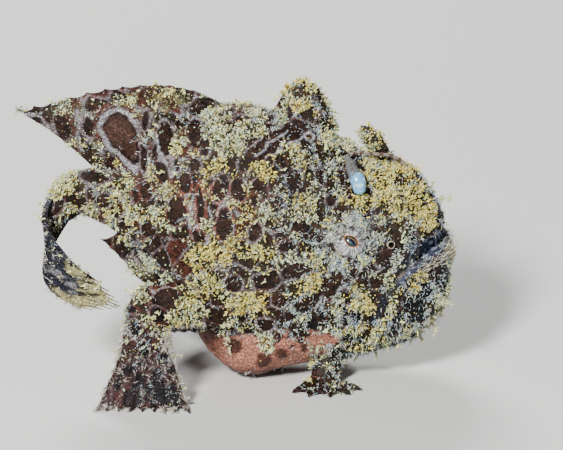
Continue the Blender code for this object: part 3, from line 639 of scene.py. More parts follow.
def smoothed(points, faces, rounds, share=None):
    """Each point moved towards the middle of its neighbours, by its share, for some rounds."""
    sides = faces.shape[1]
    pairs = np.vstack([np.column_stack([faces[:, k], faces[:, (k + 1) % sides]]) for k in range(sides)])
    count = np.bincount(pairs[:, 0], minlength=len(points))[:, None]
    weight = np.full((len(points), 1), 0.5) if share is None else 0.5 * share[:, None]
    for _ in range(rounds):
        near = points[pairs[:, 1]]
        sums = [np.bincount(pairs[:, 0], weights=near[:, k], minlength=len(points)) for k in range(3)]
        points = points + weight * (np.column_stack(sums) / count - points)
    return points


# The body's shape


def tail_frames():
    """Arc lengths along the tail's line, with the place, side and upright of each."""
    early = (TAIL_START + 6.0, TAIL_PATH[0][1], TAIL_PATH[0][2])
    line = curve_through((early,) + TAIL_PATH, TAIL_STEPS * len(TAIL_PATH) + 1)[TAIL_STEPS:]
    line = line + (np.array(TAIL_PATH[0]) - line[0])
    lengths = np.concatenate([[0], np.cumsum(np.linalg.norm(np.diff(line, axis=0), axis=1))])
    along = unit(np.gradient(line, axis=0))
    up = np.array([0.0, 0.0, 1.0])
    upright = unit(up - (along @ up)[:, None] * along)
    return lengths, line, np.cross(along, upright), upright


TAIL = tail_frames()


def bend_tail(points):
    """Moves the points behind TAIL_START from the straight pose onto the tail's line."""
    points = np.array(points, float)
    lengths, line, side, upright = TAIL
    behind = points[:, 0] < TAIL_START
    s = TAIL_START - points[behind, 0]

    def at(values):
        return np.column_stack([np.interp(s, lengths, values[:, k]) for k in range(3)])

    y, z = points[behind, 1], points[behind, 2] - TAIL_PATH[0][2]
    points[behind] = at(line) + at(side) * y[:, None] + at(upright) * z[:, None]
    return points


def body(rings, sides, inset=0.0, rows=BODY):
    """The whole body as a closed surface, drawn in by an inset."""
    turns = circle_turns(sides)
    found = []
    for x, top, bottom, half_width in curve_through(rows, rings):
        waist = bottom + WAIST * (top - bottom)
        y = max(half_width - inset, 0.4) * np.sign(np.cos(turns)) * np.abs(np.cos(turns)) ** 0.92
        rise = np.where(np.sin(turns) > 0, top - waist, waist - bottom)
        z = waist + np.maximum(rise - inset, 0.4) * np.sin(turns)
        found.append(bend_tail(np.column_stack([np.full(sides, x), y, np.maximum(z, 0)])))
    front = (rows[0][0] + 0.2 - 0.5 * inset, 0, (rows[0][1] + rows[0][2]) / 2)
    back = (rows[-1][0] - 0.7 + 0.5 * inset, 0, (rows[-1][1] + rows[-1][2]) / 2)
    return loft(found, *bend_tail([front, back]))


class Surface:
    """Finds where straight lines meet a surface."""

    def __init__(self, points, faces):
        self.tree = tree_of(points, faces)

    def from_side(self, x, z, side):
        place, normal, _, _ = self.tree.ray_cast(Vector((x, side * 60.0, z)), Vector((0, -side, 0)))
        normal = np.array(normal)
        return np.array(place), normal * (1 if normal[1] * side > 0 else -1)

    def from_above(self, x, y, lift=0.0):
        place, _, _, _ = self.tree.ray_cast(Vector((x, y, 90.0)), Vector((0, 0, -1)))
        return np.array(place) + (0, 0, lift)


ROUGH_BODY = Surface(*body(38, 28))


def eye_frame(side):
    """The middle of an eye's opening on the body, and the eye's forward, upward and outward directions."""
    spot, normal = ROUGH_BODY.from_side(EYE_X, EYE_Z, side)
    outward = unit(normal + np.array([0.12, 0.0, 0.1]))
    forward = unit(np.array([1.0, 0, 0]) - outward[0] * outward)
    upward = np.cross(outward, forward)
    return spot, forward, upward * (1 if upward[2] > 0 else -1), outward


def frame_shift():
    """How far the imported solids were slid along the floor, from where the right eye lies."""
    spot, _, _, outward = eye_frame(-1)
    low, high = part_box("right_eye")
    shift = np.array((low + high) / 2) / MM - (spot - outward * EYE_SINK)
    return np.array([shift[0], shift[1], 0.0])


SHIFT = frame_shift()


def mouth_curve(count):
    """Rows of x, z and half opening along the mouth, with the direction square to it in side view."""
    line = curve_through(np.column_stack([MOUTH_LINE, MOUTH_GAP]), count)
    along = unit(np.gradient(line[:, :2], axis=0))
    return line, np.column_stack([-along[:, 1], along[:, 0]])


def mouth_wedge():
    """The open slit of the mouth, as a prism right across the head."""
    line, _ = mouth_curve(36)
    line = np.vstack([line, (line[-1, 0] + 5.0, line[-1, 1] + 0.3, line[-1, 2])])
    along = unit(np.gradient(line[:, :2], axis=0))
    square = np.column_stack([-along[:, 1], along[:, 0]])
    edges = [line[:, :2] + square * line[:, 2:], line[:, :2] - square * line[:, 2:]]
    count, half = len(line), 30.0
    points = np.array([(x, y, z) for y in (-half, half) for edge in edges for x, z in edge])
    quads, far = [], 2 * count
    for u in range(count - 1):
        low = count + u
        quads += [(u, u + 1, low + 1, low), (u + far, low + far, low + 1 + far, u + 1 + far)]
        quads += [(u, u + far, u + 1 + far, u + 1), (low, low + 1, low + 1 + far, low + far)]
    quads += [(i, count + i, 3 * count + i, 2 * count + i) for i in (0, count - 1)]
    return points, triangles(np.array(quads))


def lip_path(direction, away):
    """Places along one edge of the mouth, from its right corner round the front to the left one."""
    line, square = mouth_curve(40)
    edge = line[:, :2] + square * direction * (line[:, 2:] + away)
    right = [ROUGH_BODY.from_side(x, z, -1)[0] for x, z in edge[::2] if x < MOUTH_PIVOT_X + 1.5]
    for turn in np.radians(np.linspace(72, 0, 13)):
        way = np.array([math.cos(turn), -math.sin(turn), 0.0])
        place = right[-1]
        for _ in range(4):
            pivot = Vector((MOUTH_PIVOT_X, 0.0, float(np.interp(place[0], edge[:, 0], edge[:, 1]))))
            place = np.array(ROUGH_BODY.tree.ray_cast(pivot + Vector(way * 60), Vector(-way))[0])
        right.append(place)
    left = [p * (1, -1, 1) for p in right[-2::-1]]
    return np.array(right + left)


def into_mouth(path):
    """The level direction from each place of the path to the middle of the mouth."""
    return unit(np.column_stack([MOUTH_PIVOT_X - 3 - path[:, 0], -path[:, 1], np.zeros(len(path))]))


def lip(direction):
    """A rounded lip along one edge of the mouth, right round the front."""
    path = lip_path(direction, 0.45)
    radii = np.full(len(path), LIP_RADIUS)
    radii[[0, -1]] *= 0.4
    radii[[1, -2]] *= 0.7
    return tube(path + into_mouth(path) * 0.45, radii, radii, (0, 0.02, 1), count=len(path) * 3, sides=14)


def mouth_folds():
    """A fold of skin inside each rear corner of the mouth."""
    path = lip_path(0, 0)
    path = path[: len(path) // 2]
    path = path[(path[:, 0] > 30) & (path[:, 0] < 37)]
    path = path + into_mouth(path) * np.linspace(1.2, 2.3, len(path))[:, None]
    wide = np.linspace(1.0, 1.3, len(path))
    return [tube(path * (1, side, 1), wide, wide * 0.8, (0, 0.02, 1), count=30, sides=14) for side in (1, -1)]


def arm(side, forward, out):
    """Upper arm back along the flank, and a forearm down to the wrist, drawn in by the coat's depth."""
    pieces = []
    for rows, thin, hint, count in ((UPPER_ARM, 1.0, (0, 0, 1), 40), (FOREARM, 0.5, (1, 0, 0), 30)):
        x, y, z, share, across, deep = np.array(rows).T
        path = np.column_stack([x + forward, side * (y + out * share), z])
        pieces.append(tube(path, across - COAT_DEPTH, deep - COAT_DEPTH * thin, hint, count, 32))
    return pieces


def spines():
    """The third and second spines, drawn in by a share of the coat's depth."""
    pieces = []
    for rows, wide, thin, count, sides in ((THIRD_SPINE, 0.6, 0.4, 30, 32), (SECOND_SPINE, 0.3, 0.2, 24, 24)):
        x, y, z, along, across = np.array(rows).T
        drawn = along - COAT_DEPTH * wide, across - COAT_DEPTH * thin
        pieces.append(tube(np.column_stack([x, y, z]), *drawn, (1, 0, 0), count, sides))
    return pieces


def at_joins(points):
    """Close to 1 where the arms and spines leave the body, to be smoothed most."""
    x, y, z = points.T
    at_arm = ramp(np.abs(y), 7, 10) * ramp(x, -16, -11) * ramp(x, 19, 14) * ramp(z, 8, 11) * ramp(z, 32, 28)
    at_spines = ramp(np.abs(y), 9, 6) * ramp(z, 43, 46) * ramp(x, 3, 6) * ramp(x, 36, 32)
    return np.maximum(at_arm, at_spines * 0.6)


def skin_relief(points, normals):
    """How far the skin rises at each point: bulges, waves and folds, and the rim of the gill opening."""
    height = np.zeros(len(points))
    for x, z, reach_x, reach_z, rise in BULGES:
        away = ((points[:, 0] - x) / reach_x) ** 2 + ((points[:, 2] - z) / reach_z) ** 2
        height += rise * np.exp(-away) * np.abs(normals[:, 1])
    calm = 1 - near_features(points)
    height += 0.22 * BROAD(points, 6.0) * calm + 0.1 * MIDDLE(points, 1.6) * calm
    x, z, radius = GILL_OPENING
    away = np.hypot(points[:, 0] - x, points[:, 2] - z)
    gill = 0.35 * ridge_at(away, radius, 0.5) - 1.2 * ramp(away, radius, radius * 0.5)
    return height + np.where(np.abs(normals[:, 1]) > 0.2, gill, 0)


def shape_skin():
    """The skin's points and faces, with lids, lips, folds and pits."""
    cut_body = subtract(body(150, 104, COAT_DEPTH), mouth_wedge())
    core = body(40, 32, COAT_DEPTH + MOUTH_DEPTH, rows=BODY[1:9])
    pieces = [cut_body, core, lip(1), lip(-1)] + spines() + mouth_folds()
    for place in ARMS.values():
        pieces += arm(*place)
    points, faces = remeshed(pieces, VOXEL)
    points = smoothed(points, faces, 3)
    points = smoothed(points, faces, 30, at_joins(points))
    normals = vertex_normals(points, faces)
    points = points + normals * skin_relief(points, normals)[:, None]
    for side in (-1, 1):
        points = lift_lids(points, side)
    return above_floor(points), faces


def from_mouth(points):
    """How far points lie from the mouth's slit in side view, with those far from it at 9."""
    line, _ = mouth_curve(60)
    found = np.full(len(points), 9.0)
    near = np.where((points[:, 0] > 22) & (points[:, 2] > 9) & (points[:, 2] < 36))[0]
    some = points[near]
    found[near] = np.min([np.hypot(some[:, 0] - x, some[:, 2] - z) - g for x, z, g in line], axis=0)
    return found


def mouth_inside(points):
    """Close to 1 in the slit of the mouth, below the head's surface."""
    gap = from_mouth(points)
    found = np.zeros(len(points))
    for i in np.where(gap < 0.9)[0]:
        found[i] = ROUGH_BODY.tree.find_nearest(Vector(points[i]))[3]
    return ramp(found, 0.75, 1.15) * ramp(gap, 0.9, 0.5)


def near_features(points):
    """Close to 1 at the lips and eyes, where the skin keeps its modelled shape."""
    found = ramp(from_mouth(points), 2.4, 1.0)
    for side in (-1, 1):
        away = np.linalg.norm(points - eye_frame(side)[0], axis=1)
        found = np.maximum(found, ramp(away, 6.5, 3.5))
    return found


def eye_places(points, side):
    """Height over the eye's opening, distance from its axis, and the turn round it."""
    spot, forward, upward, outward = eye_frame(side)
    away = points - spot
    height = away @ outward
    ahead, above = away @ forward - EYE_LOOK[0], away @ upward - EYE_LOOK[1]
    return height, np.hypot(ahead, above), np.arctan2(above, ahead)


def eye_circle(turn, away, side):
    """Places in the noise that change quickly round the eye and slowly away from it."""
    return np.column_stack([np.cos(turn), np.sin(turn), away * 0.05 + side])


def eye_rays(points, side):
    """Close to 1 on the uneven pale rays of skin that spread from the eye."""
    _, away, turn = eye_places(points, side)
    return ramp(FINE(eye_circle(turn, away, side), 0.1, 2), 0.0, 0.3)


def lift_lids(points, side):
    """Raises a low ring of skin with rays of folds round the eye, and sinks the skin behind the eyeball."""
    outward = eye_frame(side)[3]
    height, away, turn = eye_places(points, side)
    near = (away < EYE_MOUND_REACH) & (height > -5)
    opening = EYE_OPEN + 0.12 * np.cos(2 * (turn + math.radians(20)))
    share = np.clip((away - opening) / (EYE_MOUND_REACH - opening), 0, 1)
    mound = 1.2 * (1 - share) ** 2 + 0.2 * ridge_at(away, opening + 0.35, 0.3)
    folds = 0.26 * (eye_rays(points, side) - 0.4) * ramp(share, 0.02, 0.14) * ramp(share, 0.9, 0.3)
    behind = -EYE_SINK + np.sqrt(np.maximum(EYE_RADIUS**2 - away**2, 0.01)) - 0.55
    raised = np.where(away < opening, behind, height + mound + folds)
    return points + outward * np.where(near, raised - height, 0.0)[:, None]


def nostril(x, z, radius, rise, side):
    """A short open tube of skin with a rounded rim."""
    spot, normal = ROUGH_BODY.from_side(x, z, side)
    forward = unit(np.array([1.0, 0, 0]) - normal[0] * normal)
    upward = np.cross(normal, forward)
    turns = circle_turns(NOSTRIL_SIDES)
    wobble = 1 + 0.05 * np.sin(3 * turns + x)
    circle = np.outer(np.cos(turns) * wobble, forward) + np.outer(np.sin(turns) * wobble, upward)
    rings = []
    for share, height in curve_through(NOSTRIL_WALL, NOSTRIL_RINGS):
        rings.append(spot - normal * 0.35 + circle * radius * share + normal * height * rise)
    return loft(rings, spot - normal * 1.6, spot - normal * 0.9)


# Fins


def fin(rays, per_gap=8, steps=40, ridge=(0.55, 0.34), web=0.2, notch=0.12, ripple=0.0):
    """A fin's closed sheet. Each ray is a rounded ridge on both faces, and the web ends short of the tips."""
    rays = np.array([curve_through(ray, steps) for ray in rays])
    count = len(rays)
    columns = (count - 1) * per_gap + 1
    grid = curve_through(rays.reshape(count, -1), columns).reshape(columns, steps, 3)
    between = (np.arange(columns) % per_gap) / per_gap
    hollow = np.sin(math.pi * between)
    reach = np.linspace(0, 1, steps)
    cut = []
    for column, low in zip(grid, hollow):
        at = reach * (1 - notch * low**0.7)
        cut.append(np.column_stack([np.interp(at, reach, column[:, k]) for k in range(3)]))
    grid = np.array(cut)
    normal = unit(np.cross(np.gradient(grid, axis=1), np.gradient(grid, axis=0)))
    beside = np.minimum(between, 1 - between) * per_gap
    raised = ridge_at(beside, 0, per_gap * 0.16)
    ray_half = np.linspace(ridge[0], ridge[1], steps)[None, :]
    thick = web + (ray_half - web) * raised[:, None]
    thick = thick * (1 + 0.1 * np.sin(reach * steps * 1.9)[None, :] * raised[:, None])
    thick = thick * ramp(reach, 1.04, 0.86)[None, :].clip(0.3, 1)
    grid = grid + normal * (ripple * hollow[:, None] * np.sin(7 * reach + 1.0)[None, :])[:, :, None]
    offset = normal * thick[:, :, None]
    points = np.concatenate([(grid + offset).reshape(-1, 3), (grid - offset).reshape(-1, 3)])
    back = columns * steps
    j, k = np.meshgrid(np.arange(columns - 1), np.arange(steps - 1), indexing="ij")
    a = (j * steps + k).ravel()
    b, c, d = a + steps, a + steps + 1, a + 1
    faces = [np.column_stack(t) for t in ((a, b, c), (a, c, d))]
    faces += [np.column_stack(t) + back for t in ((a, c, b), (a, d, c))]
    last = (columns - 1) * steps
    sides = [np.arange(0, last + 1, steps), np.arange(last + 1, last + steps)]
    sides += [np.arange(last - 1, 0, -steps), np.arange(steps - 2, 0, -1)]
    rim = np.concatenate(sides)
    after = np.roll(rim, -1)
    faces += [np.column_stack([rim, after, after + back]), np.column_stack([rim, after + back, rim + back])]
    return above_floor(points), np.vstack(faces)


def body_edge(column, x):
    """The height of the body's top (column 1) or bottom (column 2) at x, in the straight pose."""
    rows = curve_through(BODY, 200)[::-1]
    return np.interp(x, rows[:, 0], rows[:, column])


def dorsal_rays():
    rays = []
    tips = curve_through(DORSAL_EDGE, DORSAL_RAYS)
    for i, x in enumerate(np.linspace(-2.6, -28.5, DORSAL_RAYS)):
        foot = np.array([x, 0.0, body_edge(1, x)])
        tip = np.array([tips[i, 0], 0.06 * i * math.sin(i * 1.1), tips[i, 1]])
        rise = (foot + tip) / 2 + np.array([0.3, 0.0, 0.5]) * (0.2 + 0.1 * i)
        rays.append(curve_through((foot + (3.0, 0.0, -3.6), foot, rise, tip), 8))
    return rays


def anal_rays():
    rays = []
    tips = curve_through(ANAL_EDGE, ANAL_RAYS)
    for i, x in enumerate(np.linspace(-10.5, -23.5, ANAL_RAYS)):
        foot = np.array([x, 0.0, body_edge(2, x)])
        tip = np.array([tips[i, 0], -0.5, tips[i, 1]])
        rise = (foot + tip) / 2 + (-0.3, 0.0, -0.7)
        rays.append(curve_through((foot + (1.4, 0.0, 3.2), foot, rise, tip), 7))
    return rays


def caudal_rays():
    rays = []
    for f in np.linspace(-1, 1, CAUDAL_RAYS):
        s = np.linspace(CAUDAL_ROOT - 1.5, CAUDAL_LENGTH - 5.0 * f * f, 16)
        half = np.interp(s, (CAUDAL_ROOT, 14.0, 24.0, CAUDAL_LENGTH), (3.2, 4.4, 4.9, 2.3))
        stagger = 0.25 * math.sin(4 * math.pi * f)
        straight = np.column_stack([TAIL_START - s, np.full(16, stagger), TAIL_PATH[0][2] + half * f])
        rays.append(bend_tail(straight))
    return rays


def hand_rays(side, forward, out):
    rays = []
    for f in np.linspace(-1, 1, HAND_RAYS):
        wander = 0.35 * math.sin(7 * f)
        line = (
            (-17.6 + 3.9 * f, 20.3, 15.4),
            (-17.6 + 4.6 * f, 20.4, 11.6),
            (-17.8 + 6.6 * f, 20.9, 6.0 + wander),
            (-18.0 + 8.0 * f, 21.8, 1.6 + 0.5 * f * f),
            (-18.1 + 8.6 * f, 22.8, FLOOR_LIE + 0.15),
            (-18.2 + (9.3 + wander) * f, 24.6 + 0.6 * f, FLOOR_LIE),
        )
        rays.append(curve_through([(x + forward, side * (y + out), z) for x, y, z in line], 11))
    return rays


def pelvic_lobe(side, rows):
    x, y, z, across, deep = np.array(rows, float).T
    return tube(np.column_stack([x, side * y, z]), across, deep, (1, 0, 0))


def pelvic(side):
    """A short fleshy lobe under the throat and five rays spread on the floor."""
    rays = []
    for f in np.linspace(-1, 1, PELVIC_RAYS):
        turn = math.radians(10 + 50 * f)
        reach = 8.0 - 0.9 * f * f
        away = np.array([math.sin(turn), side * math.cos(turn), 0.0])
        start = np.array([17.6 + 2.0 * f, side * 8.8, 1.9])
        knee = start + away * reach * 0.5
        knee[2] = 1.0
        tip = start + away * reach
        tip[2] = FLOOR_LIE
        rays.append(curve_through((start, knee, tip), 6))
    fan = fin(rays, per_gap=8, steps=24, ridge=(0.75, 0.5), web=0.34, notch=0.25)
    points, faces = remeshed([pelvic_lobe(side, PELVIC_LOBE), fan], PELVIC_VOXEL)
    return above_floor(smoothed(points, faces, 3)), faces


# Markings


def in_picture(points):
    """Where points fall in the picture of the right side. The left side mirrors it, set off a little."""
    side = np.abs(points[:, 1])
    rise = math.cos(CAMERA_TILT) * points[:, 2] + math.sin(CAMERA_TILT) * (PICTURE_NEAR - side)
    place = np.column_stack([PICTURE_ZERO[0] + PER_MM * points[:, 0], PICTURE_ZERO[1] - PER_MM * rise])
    left = ramp(points[:, 1], 0, 6)[:, None]
    wander = np.column_stack([BROAD(points, 9.0, 2), MIDDLE(points, 9.0, 2)]) * LEFT_WANDER
    return place + left * (np.array(LEFT_SHIFT) + wander)


def outside(place, row):
    """Pixels by which places lie outside an ellipse, negative inside."""
    x, y, half_wide, half_high, tilt = row[:5]
    turn = math.radians(tilt)
    dx, dy = place[:, 0] - x, place[:, 1] - y
    along = dx * math.cos(turn) + dy * math.sin(turn)
    across = dy * math.cos(turn) - dx * math.sin(turn)
    return (np.hypot(along / half_wide, across / half_high) - 1) * min(half_wide, half_high)


def nearest(place, rows):
    return np.min([outside(place, row) for row in rows], axis=0)


def off_lines(place, lines):
    found = np.full(len(place), 99.0)
    for line in lines:
        for start, end in zip(line, line[1:]):
            start, way = np.array(start, float), np.subtract(end, start).astype(float)
            share = np.clip(((place - start) @ way) / (way @ way), 0, 1)
            found = np.minimum(found, np.linalg.norm(place - start - share[:, None] * way, axis=1))
    return found


def find_marks(points, place, unseen):
    """How far each point lies from the patches and the eyespot, and where rims, lines and the ring run."""
    brown = nearest(place, DARK_PATCHES) + unseen
    black = nearest(place, BLACK_PATCHES) + unseen
    ocellus = nearest(place, OCELLUS) + unseen
    first, second, number = cells(points * (1.1, 1.1, 0.8), NET_WIDTH, NET_SEED)
    inner = (second - first) / 2 * PER_MM
    patches = np.minimum(brown, black)
    chosen = np.minimum(patches, ocellus)
    filled = np.maximum(1.0 - inner, 2.6 - np.maximum(chosen, 0)) + 30 * ramp(ocellus, 13, 8)
    depth = np.minimum(np.minimum(brown, filled), ocellus)
    broken = ramp(MIDDLE(points + 9, 3.0) + 0.4 * FINE(points + 9, 1.0), -0.6, 0.4)
    return SimpleNamespace(
        black=black,
        ocellus=ocellus,
        patches=patches,
        chosen=chosen,
        depth=depth,
        dark=ramp(depth, 0.7, -0.7),
        reddish=ramp(number, 0.32, 0.28) * (filled < brown) * ramp(place[:, 0], 290, 250),
        lines=ramp(off_lines(place, PALE_LINES) + unseen, 1.7, 0.6),
        rim=ramp(depth, 0.1, 0.6) * ramp(depth, 1.8, 1.1) * broken,
        ring=ramp(ocellus, 0.3, 1.0) * ramp(ocellus, 5.6, 4.4) * ramp(place[:, 0], 146, 134),
    )


def find_parts(points, normals, place):
    """Close to 1 on the head, the belly and its brown rear, the pectoral fins and the folded tail fin."""
    x, y, z = points.T
    edge = z + 2.4 * MIDDLE(points + 44, 3.6, 2) + 1.2 * FINE(points + 44, 1.2, 2)
    belly = ramp(normals[:, 2], -0.05, -0.35) * ramp(edge, 12.9, 12.0) * ramp(x, -16, -12)
    return SimpleNamespace(
        head=ramp(place[:, 0], 262, 300),
        belly=belly * ramp(x + 2.0 * MIDDLE(points + 46, 3.0, 2), 21, 19) * ramp(np.abs(y), 17, 15.5),
        rear=ramp(x + 1.5 * MIDDLE(points + 48, 4.0, 2), 1, -6) * ramp(edge, 4, 10),
        hand=ramp(x, -7, -10) * ramp(np.abs(y), 15.5, 17) * ramp(z, 19, 15),
        tail=ramp(x, -27, -29) * ramp(-y, 4, 9) * ramp(z, 36, 30),
    )


def bare_colour(points, place, mark, part, spots):
    """The skin's colour where no clouds of warts lie."""
    z = points[:, 2]
    quiet = (1 - part.belly) * (1 - 0.8 * part.hand)
    rosy = ramp(outside(place, ROSE_PLACE), 5, -5) * (1 - 0.75 * mark.rim)
    spotted = ramp(nearest(place, BELLY_SPOTS), 1.4, -2.2) * part.belly
    eyespot = ramp(mark.ocellus, -1.5, -3.0)
    patch = layered(
        mix(PATCH_BROWN, PATCH_EDGE, ramp(mark.depth, -2.2, -0.6) * 0.75),
        (GROUND_RED, mark.reddish * 0.6),
        (OCELLUS_BROWN, eyespot),
    )
    mottle = 0.6 * FINE(points + 3, 0.7, 2) + 0.3 * MIDDLE(points + 5, 3.0, 2)
    patch = patch * (1 + mottle * (1 - 0.6 * eyespot))[:, None]
    return layered(
        mix(GROUND_RED, GROUND_MAUVE, ramp(BROAD(points, 5.0) + 0.3 * FINE(points, 1.0), -0.3, 0.6)),
        (GROUND_HEAD, part.head * 0.8),
        (HAND_MAUVE, part.hand * 0.9),
        (TAIL_BLUE, part.tail * 0.9),
        (BELLY_PINK, part.belly * 0.95),
        # painted shade: the belly darker towards its lowest part, next to the floor
        (HAND_MAUVE * 0.45, part.belly * ramp(z, 4.6, 1.6) * 0.7),
        (BELLY_BROWN, part.belly * part.rear * 0.88),
        (PALE_LILAC, np.maximum(mark.rim * 0.6 * (1 - 0.4 * part.head), mark.ring) * quiet),
        (ROSE, rosy * (1 - ramp(mark.depth, 0.3, -0.3)) * 0.8 * quiet),
        (patch, mark.dark * quiet),
        (PALE_LILAC, mark.lines * 0.95),
        (PATCH_BLACK, spots * 0.95),
        (BELLY_BROWN, spotted * 0.9),
    )


def find_clouds(points, place, mark, part, seen, unseen):
    """How thick the clouds of warts are, the share of yellow in them, and where the skin stays bare."""
    depth, yellow = np.full(len(points), 99.0), np.zeros(len(points))
    for row in CLOUDS:
        here = outside(place, row)
        yellow = np.where(here < depth, row[5], yellow)
        depth = np.minimum(depth, here)
    depth = depth + unseen
    ragged = depth + (4.5 * MIDDLE(points + 20, 3.0) + 3.5 * FINE(points + 30, 1.2))
    spread = BROAD(points + (3, 8, 5), 7.0) + 0.5 * MIDDLE(points + 50, 2.4)
    elsewhere = ramp(spread, 0.1, 0.45) * (1 - 0.8 * seen * ramp(mark.patches, 6, 1))
    own = ramp(spread, -0.1, 0.25) * (1 - seen)
    between = ramp(mark.chosen, 0.5, 2.5) * ramp(mark.chosen, 9, 5) * seen * ramp(mark.ocellus, 6, 9) * 0.75
    between = between * ramp(MIDDLE(points + 77, 3.0), -0.6, 0.1)
    more = np.maximum.reduce([elsewhere * 0.6, own, between]) * (1 - 0.9 * part.hand)
    cloud = np.maximum(ramp(ragged, 2.4, -1.8), more)
    cloud = cloud * (1 - 0.95 * ramp(mark.patches, 3.2, 0.4)) * (1 - 0.5 * mark.dark)
    yellow = np.where(depth < 6, yellow, 0.45 + 0.3 * BROAD(points + 70, 7.0))
    hanging = part.belly * (0.97 - 0.9 * ramp(ragged, 1.0, -1.0))
    bare = np.maximum.reduce([mark.ring, hanging, ramp(mark.ocellus, 1.0, -1.0) * 0.97, mark.lines * 0.9])
    clumps = ramp(FINE(points + 90, 1.7, 2) + 0.25 * MIDDLE(points + 91, 4.0, 1), -0.5, 0.05)
    clumps = np.maximum(0.1 + 0.9 * clumps, (0.8 - 0.35 * part.head) * ramp(depth, 0, -4))
    return cloud * clumps * (1 - bare) * (1 - 0.6 * part.hand), np.clip(yellow, 0, 1), bare


def paint(points, normals):
    """The skin's colour at each point, and how thickly each kind of coat stands there."""
    place = in_picture(points)
    ragged = np.column_stack([MIDDLE(points, 3.2), FINE(points, 3.2)]) * 2.0
    ragged += np.column_stack([FINE(points + 40, 1.0, 2), FINE(points + 80, 1.0, 2)]) * 0.9
    place = place + ragged
    facing = math.cos(CAMERA_TILT) * np.abs(normals[:, 1]) + math.sin(CAMERA_TILT) * normals[:, 2]
    seen = ramp(facing, 0.15, 0.45)
    unseen = (1 - seen) * UNSEEN_AWAY
    mark = find_marks(points, place, unseen)
    part = find_parts(points, normals, place)
    cloud, yellow, bare = find_clouds(points, place, mark, part, seen, unseen)

    x, y, z = points.T
    bars = part.hand * ramp(z, 11, 5) * ramp(MIDDLE(points * (1, 1, 0.6) + 31, 1.9, 2), 0.0, 0.25)
    spots = np.maximum(ramp(mark.black, 0.6, -0.8) * (1 - part.belly), bars * 0.9)
    heart = ramp(cloud, 0.5, 0.9) * (0.3 + 0.7 * yellow)
    colour = bare_colour(points, place, mark, part, spots)
    # under the clouds: the skin's own olive colour, darkened as painted shade so the gaps between warts read
    # dark, less so in the yellow hearts
    colour = mix(colour, mix(CLOUD_GROUND_AND_GAP_SHADE, CLOUD_HEART, heart), cloud * 0.8)
    shade = 1 + (0.35 - 0.25 * part.belly) * FINE(points, 0.7, 2) + 0.15 * MIDDLE(points + 15, 2.2, 2)

    bristle = 0.09 + 0.3 * part.head + 0.06 * part.hand + 0.2 * part.tail
    bristle = bristle * (1 - 0.93 * ramp(mark.depth, 1.6, -0.4)) * (1 - bare * 0.9)
    bristle = bristle * (1 - 0.85 * spots) * (0.75 + 0.8 * MIDDLE(points + 60, 2.0))
    hand_middle = np.where(y < 0, HAND_MIDDLE, HAND_MIDDLE + ARMS["left"][1])
    hand_half = np.interp(z, HAND_HEIGHTS, HAND_HALVES)
    outer = part.hand * ramp(np.abs(x - hand_middle) / hand_half, 0.66, 0.92)
    return {
        "colour": np.clip(colour * shade[:, None], 0, 1),
        "cloud": cloud,
        "yellow": yellow,
        "bristle": np.clip(bristle, 0, 1),
        "speck": (1 - cloud) * (1 - bare) * (1 - 0.7 * part.belly),
        "bare": bare,
        "edge": 4 * part.belly * (1 - part.belly),
        "spots": np.maximum(spots, 0.9 * ramp(mark.depth, 1.0, -1.0)),
        "rim": np.maximum(ramp(facing, 0.85, 0.3) * (1 - 0.6 * part.hand), outer),
        "limb": np.clip(part.hand + part.tail, 0, 1),
    }


def tint_tail(points, found):
    """Colours the folded middle of the tail fin blue with pale rays, and its lower edge and ends cream."""
    _, y, z = points.T
    streaks = FINE(points * (0.35, 0.35, 2.2), 1.0, 2)
    blue = mix(TAIL_BLUE, TAIL_BLUE * 0.3, ramp(streaks, -0.2, 0.3))
    blue = mix(blue, PALE_LILAC, ramp(streaks, 0.45, 0.7) * 0.6)
    cream = mix(RAY_CREAM, PATCH_EDGE, ramp(streaks, 0.1, 0.4))
    folded = ramp(-y, 3, 7)
    path = np.array(TAIL_PATH[2:])
    middle = np.interp(-y, -path[:, 1], path[:, 2])
    ragged = 1.2 * MIDDLE(points, 2.5, 2)
    ends = np.maximum(ramp(-y + ragged, 16.5, 18.0), ramp(z - middle + ragged, -2.0, -3.4) * ramp(-y, 13, 16))
    needles = ramp(MIDDLE(points + 17, 2.6, 2), -0.05, 0.25)
    found["colour"] = layered(found["colour"], (blue, folded * 0.9), (cream, ends * 0.95))
    found["limb"] = np.maximum(found["limb"] * (1 - folded), 0.7 * folded * needles)
    found["cloud"] = np.maximum(found["cloud"] * (1 - 0.95 * folded), 0.2 * ends)
    found["bristle"] = found["bristle"] * (1 - 0.9 * folded)
    found["speck"] = found["speck"] * (1 - 0.5 * folded)


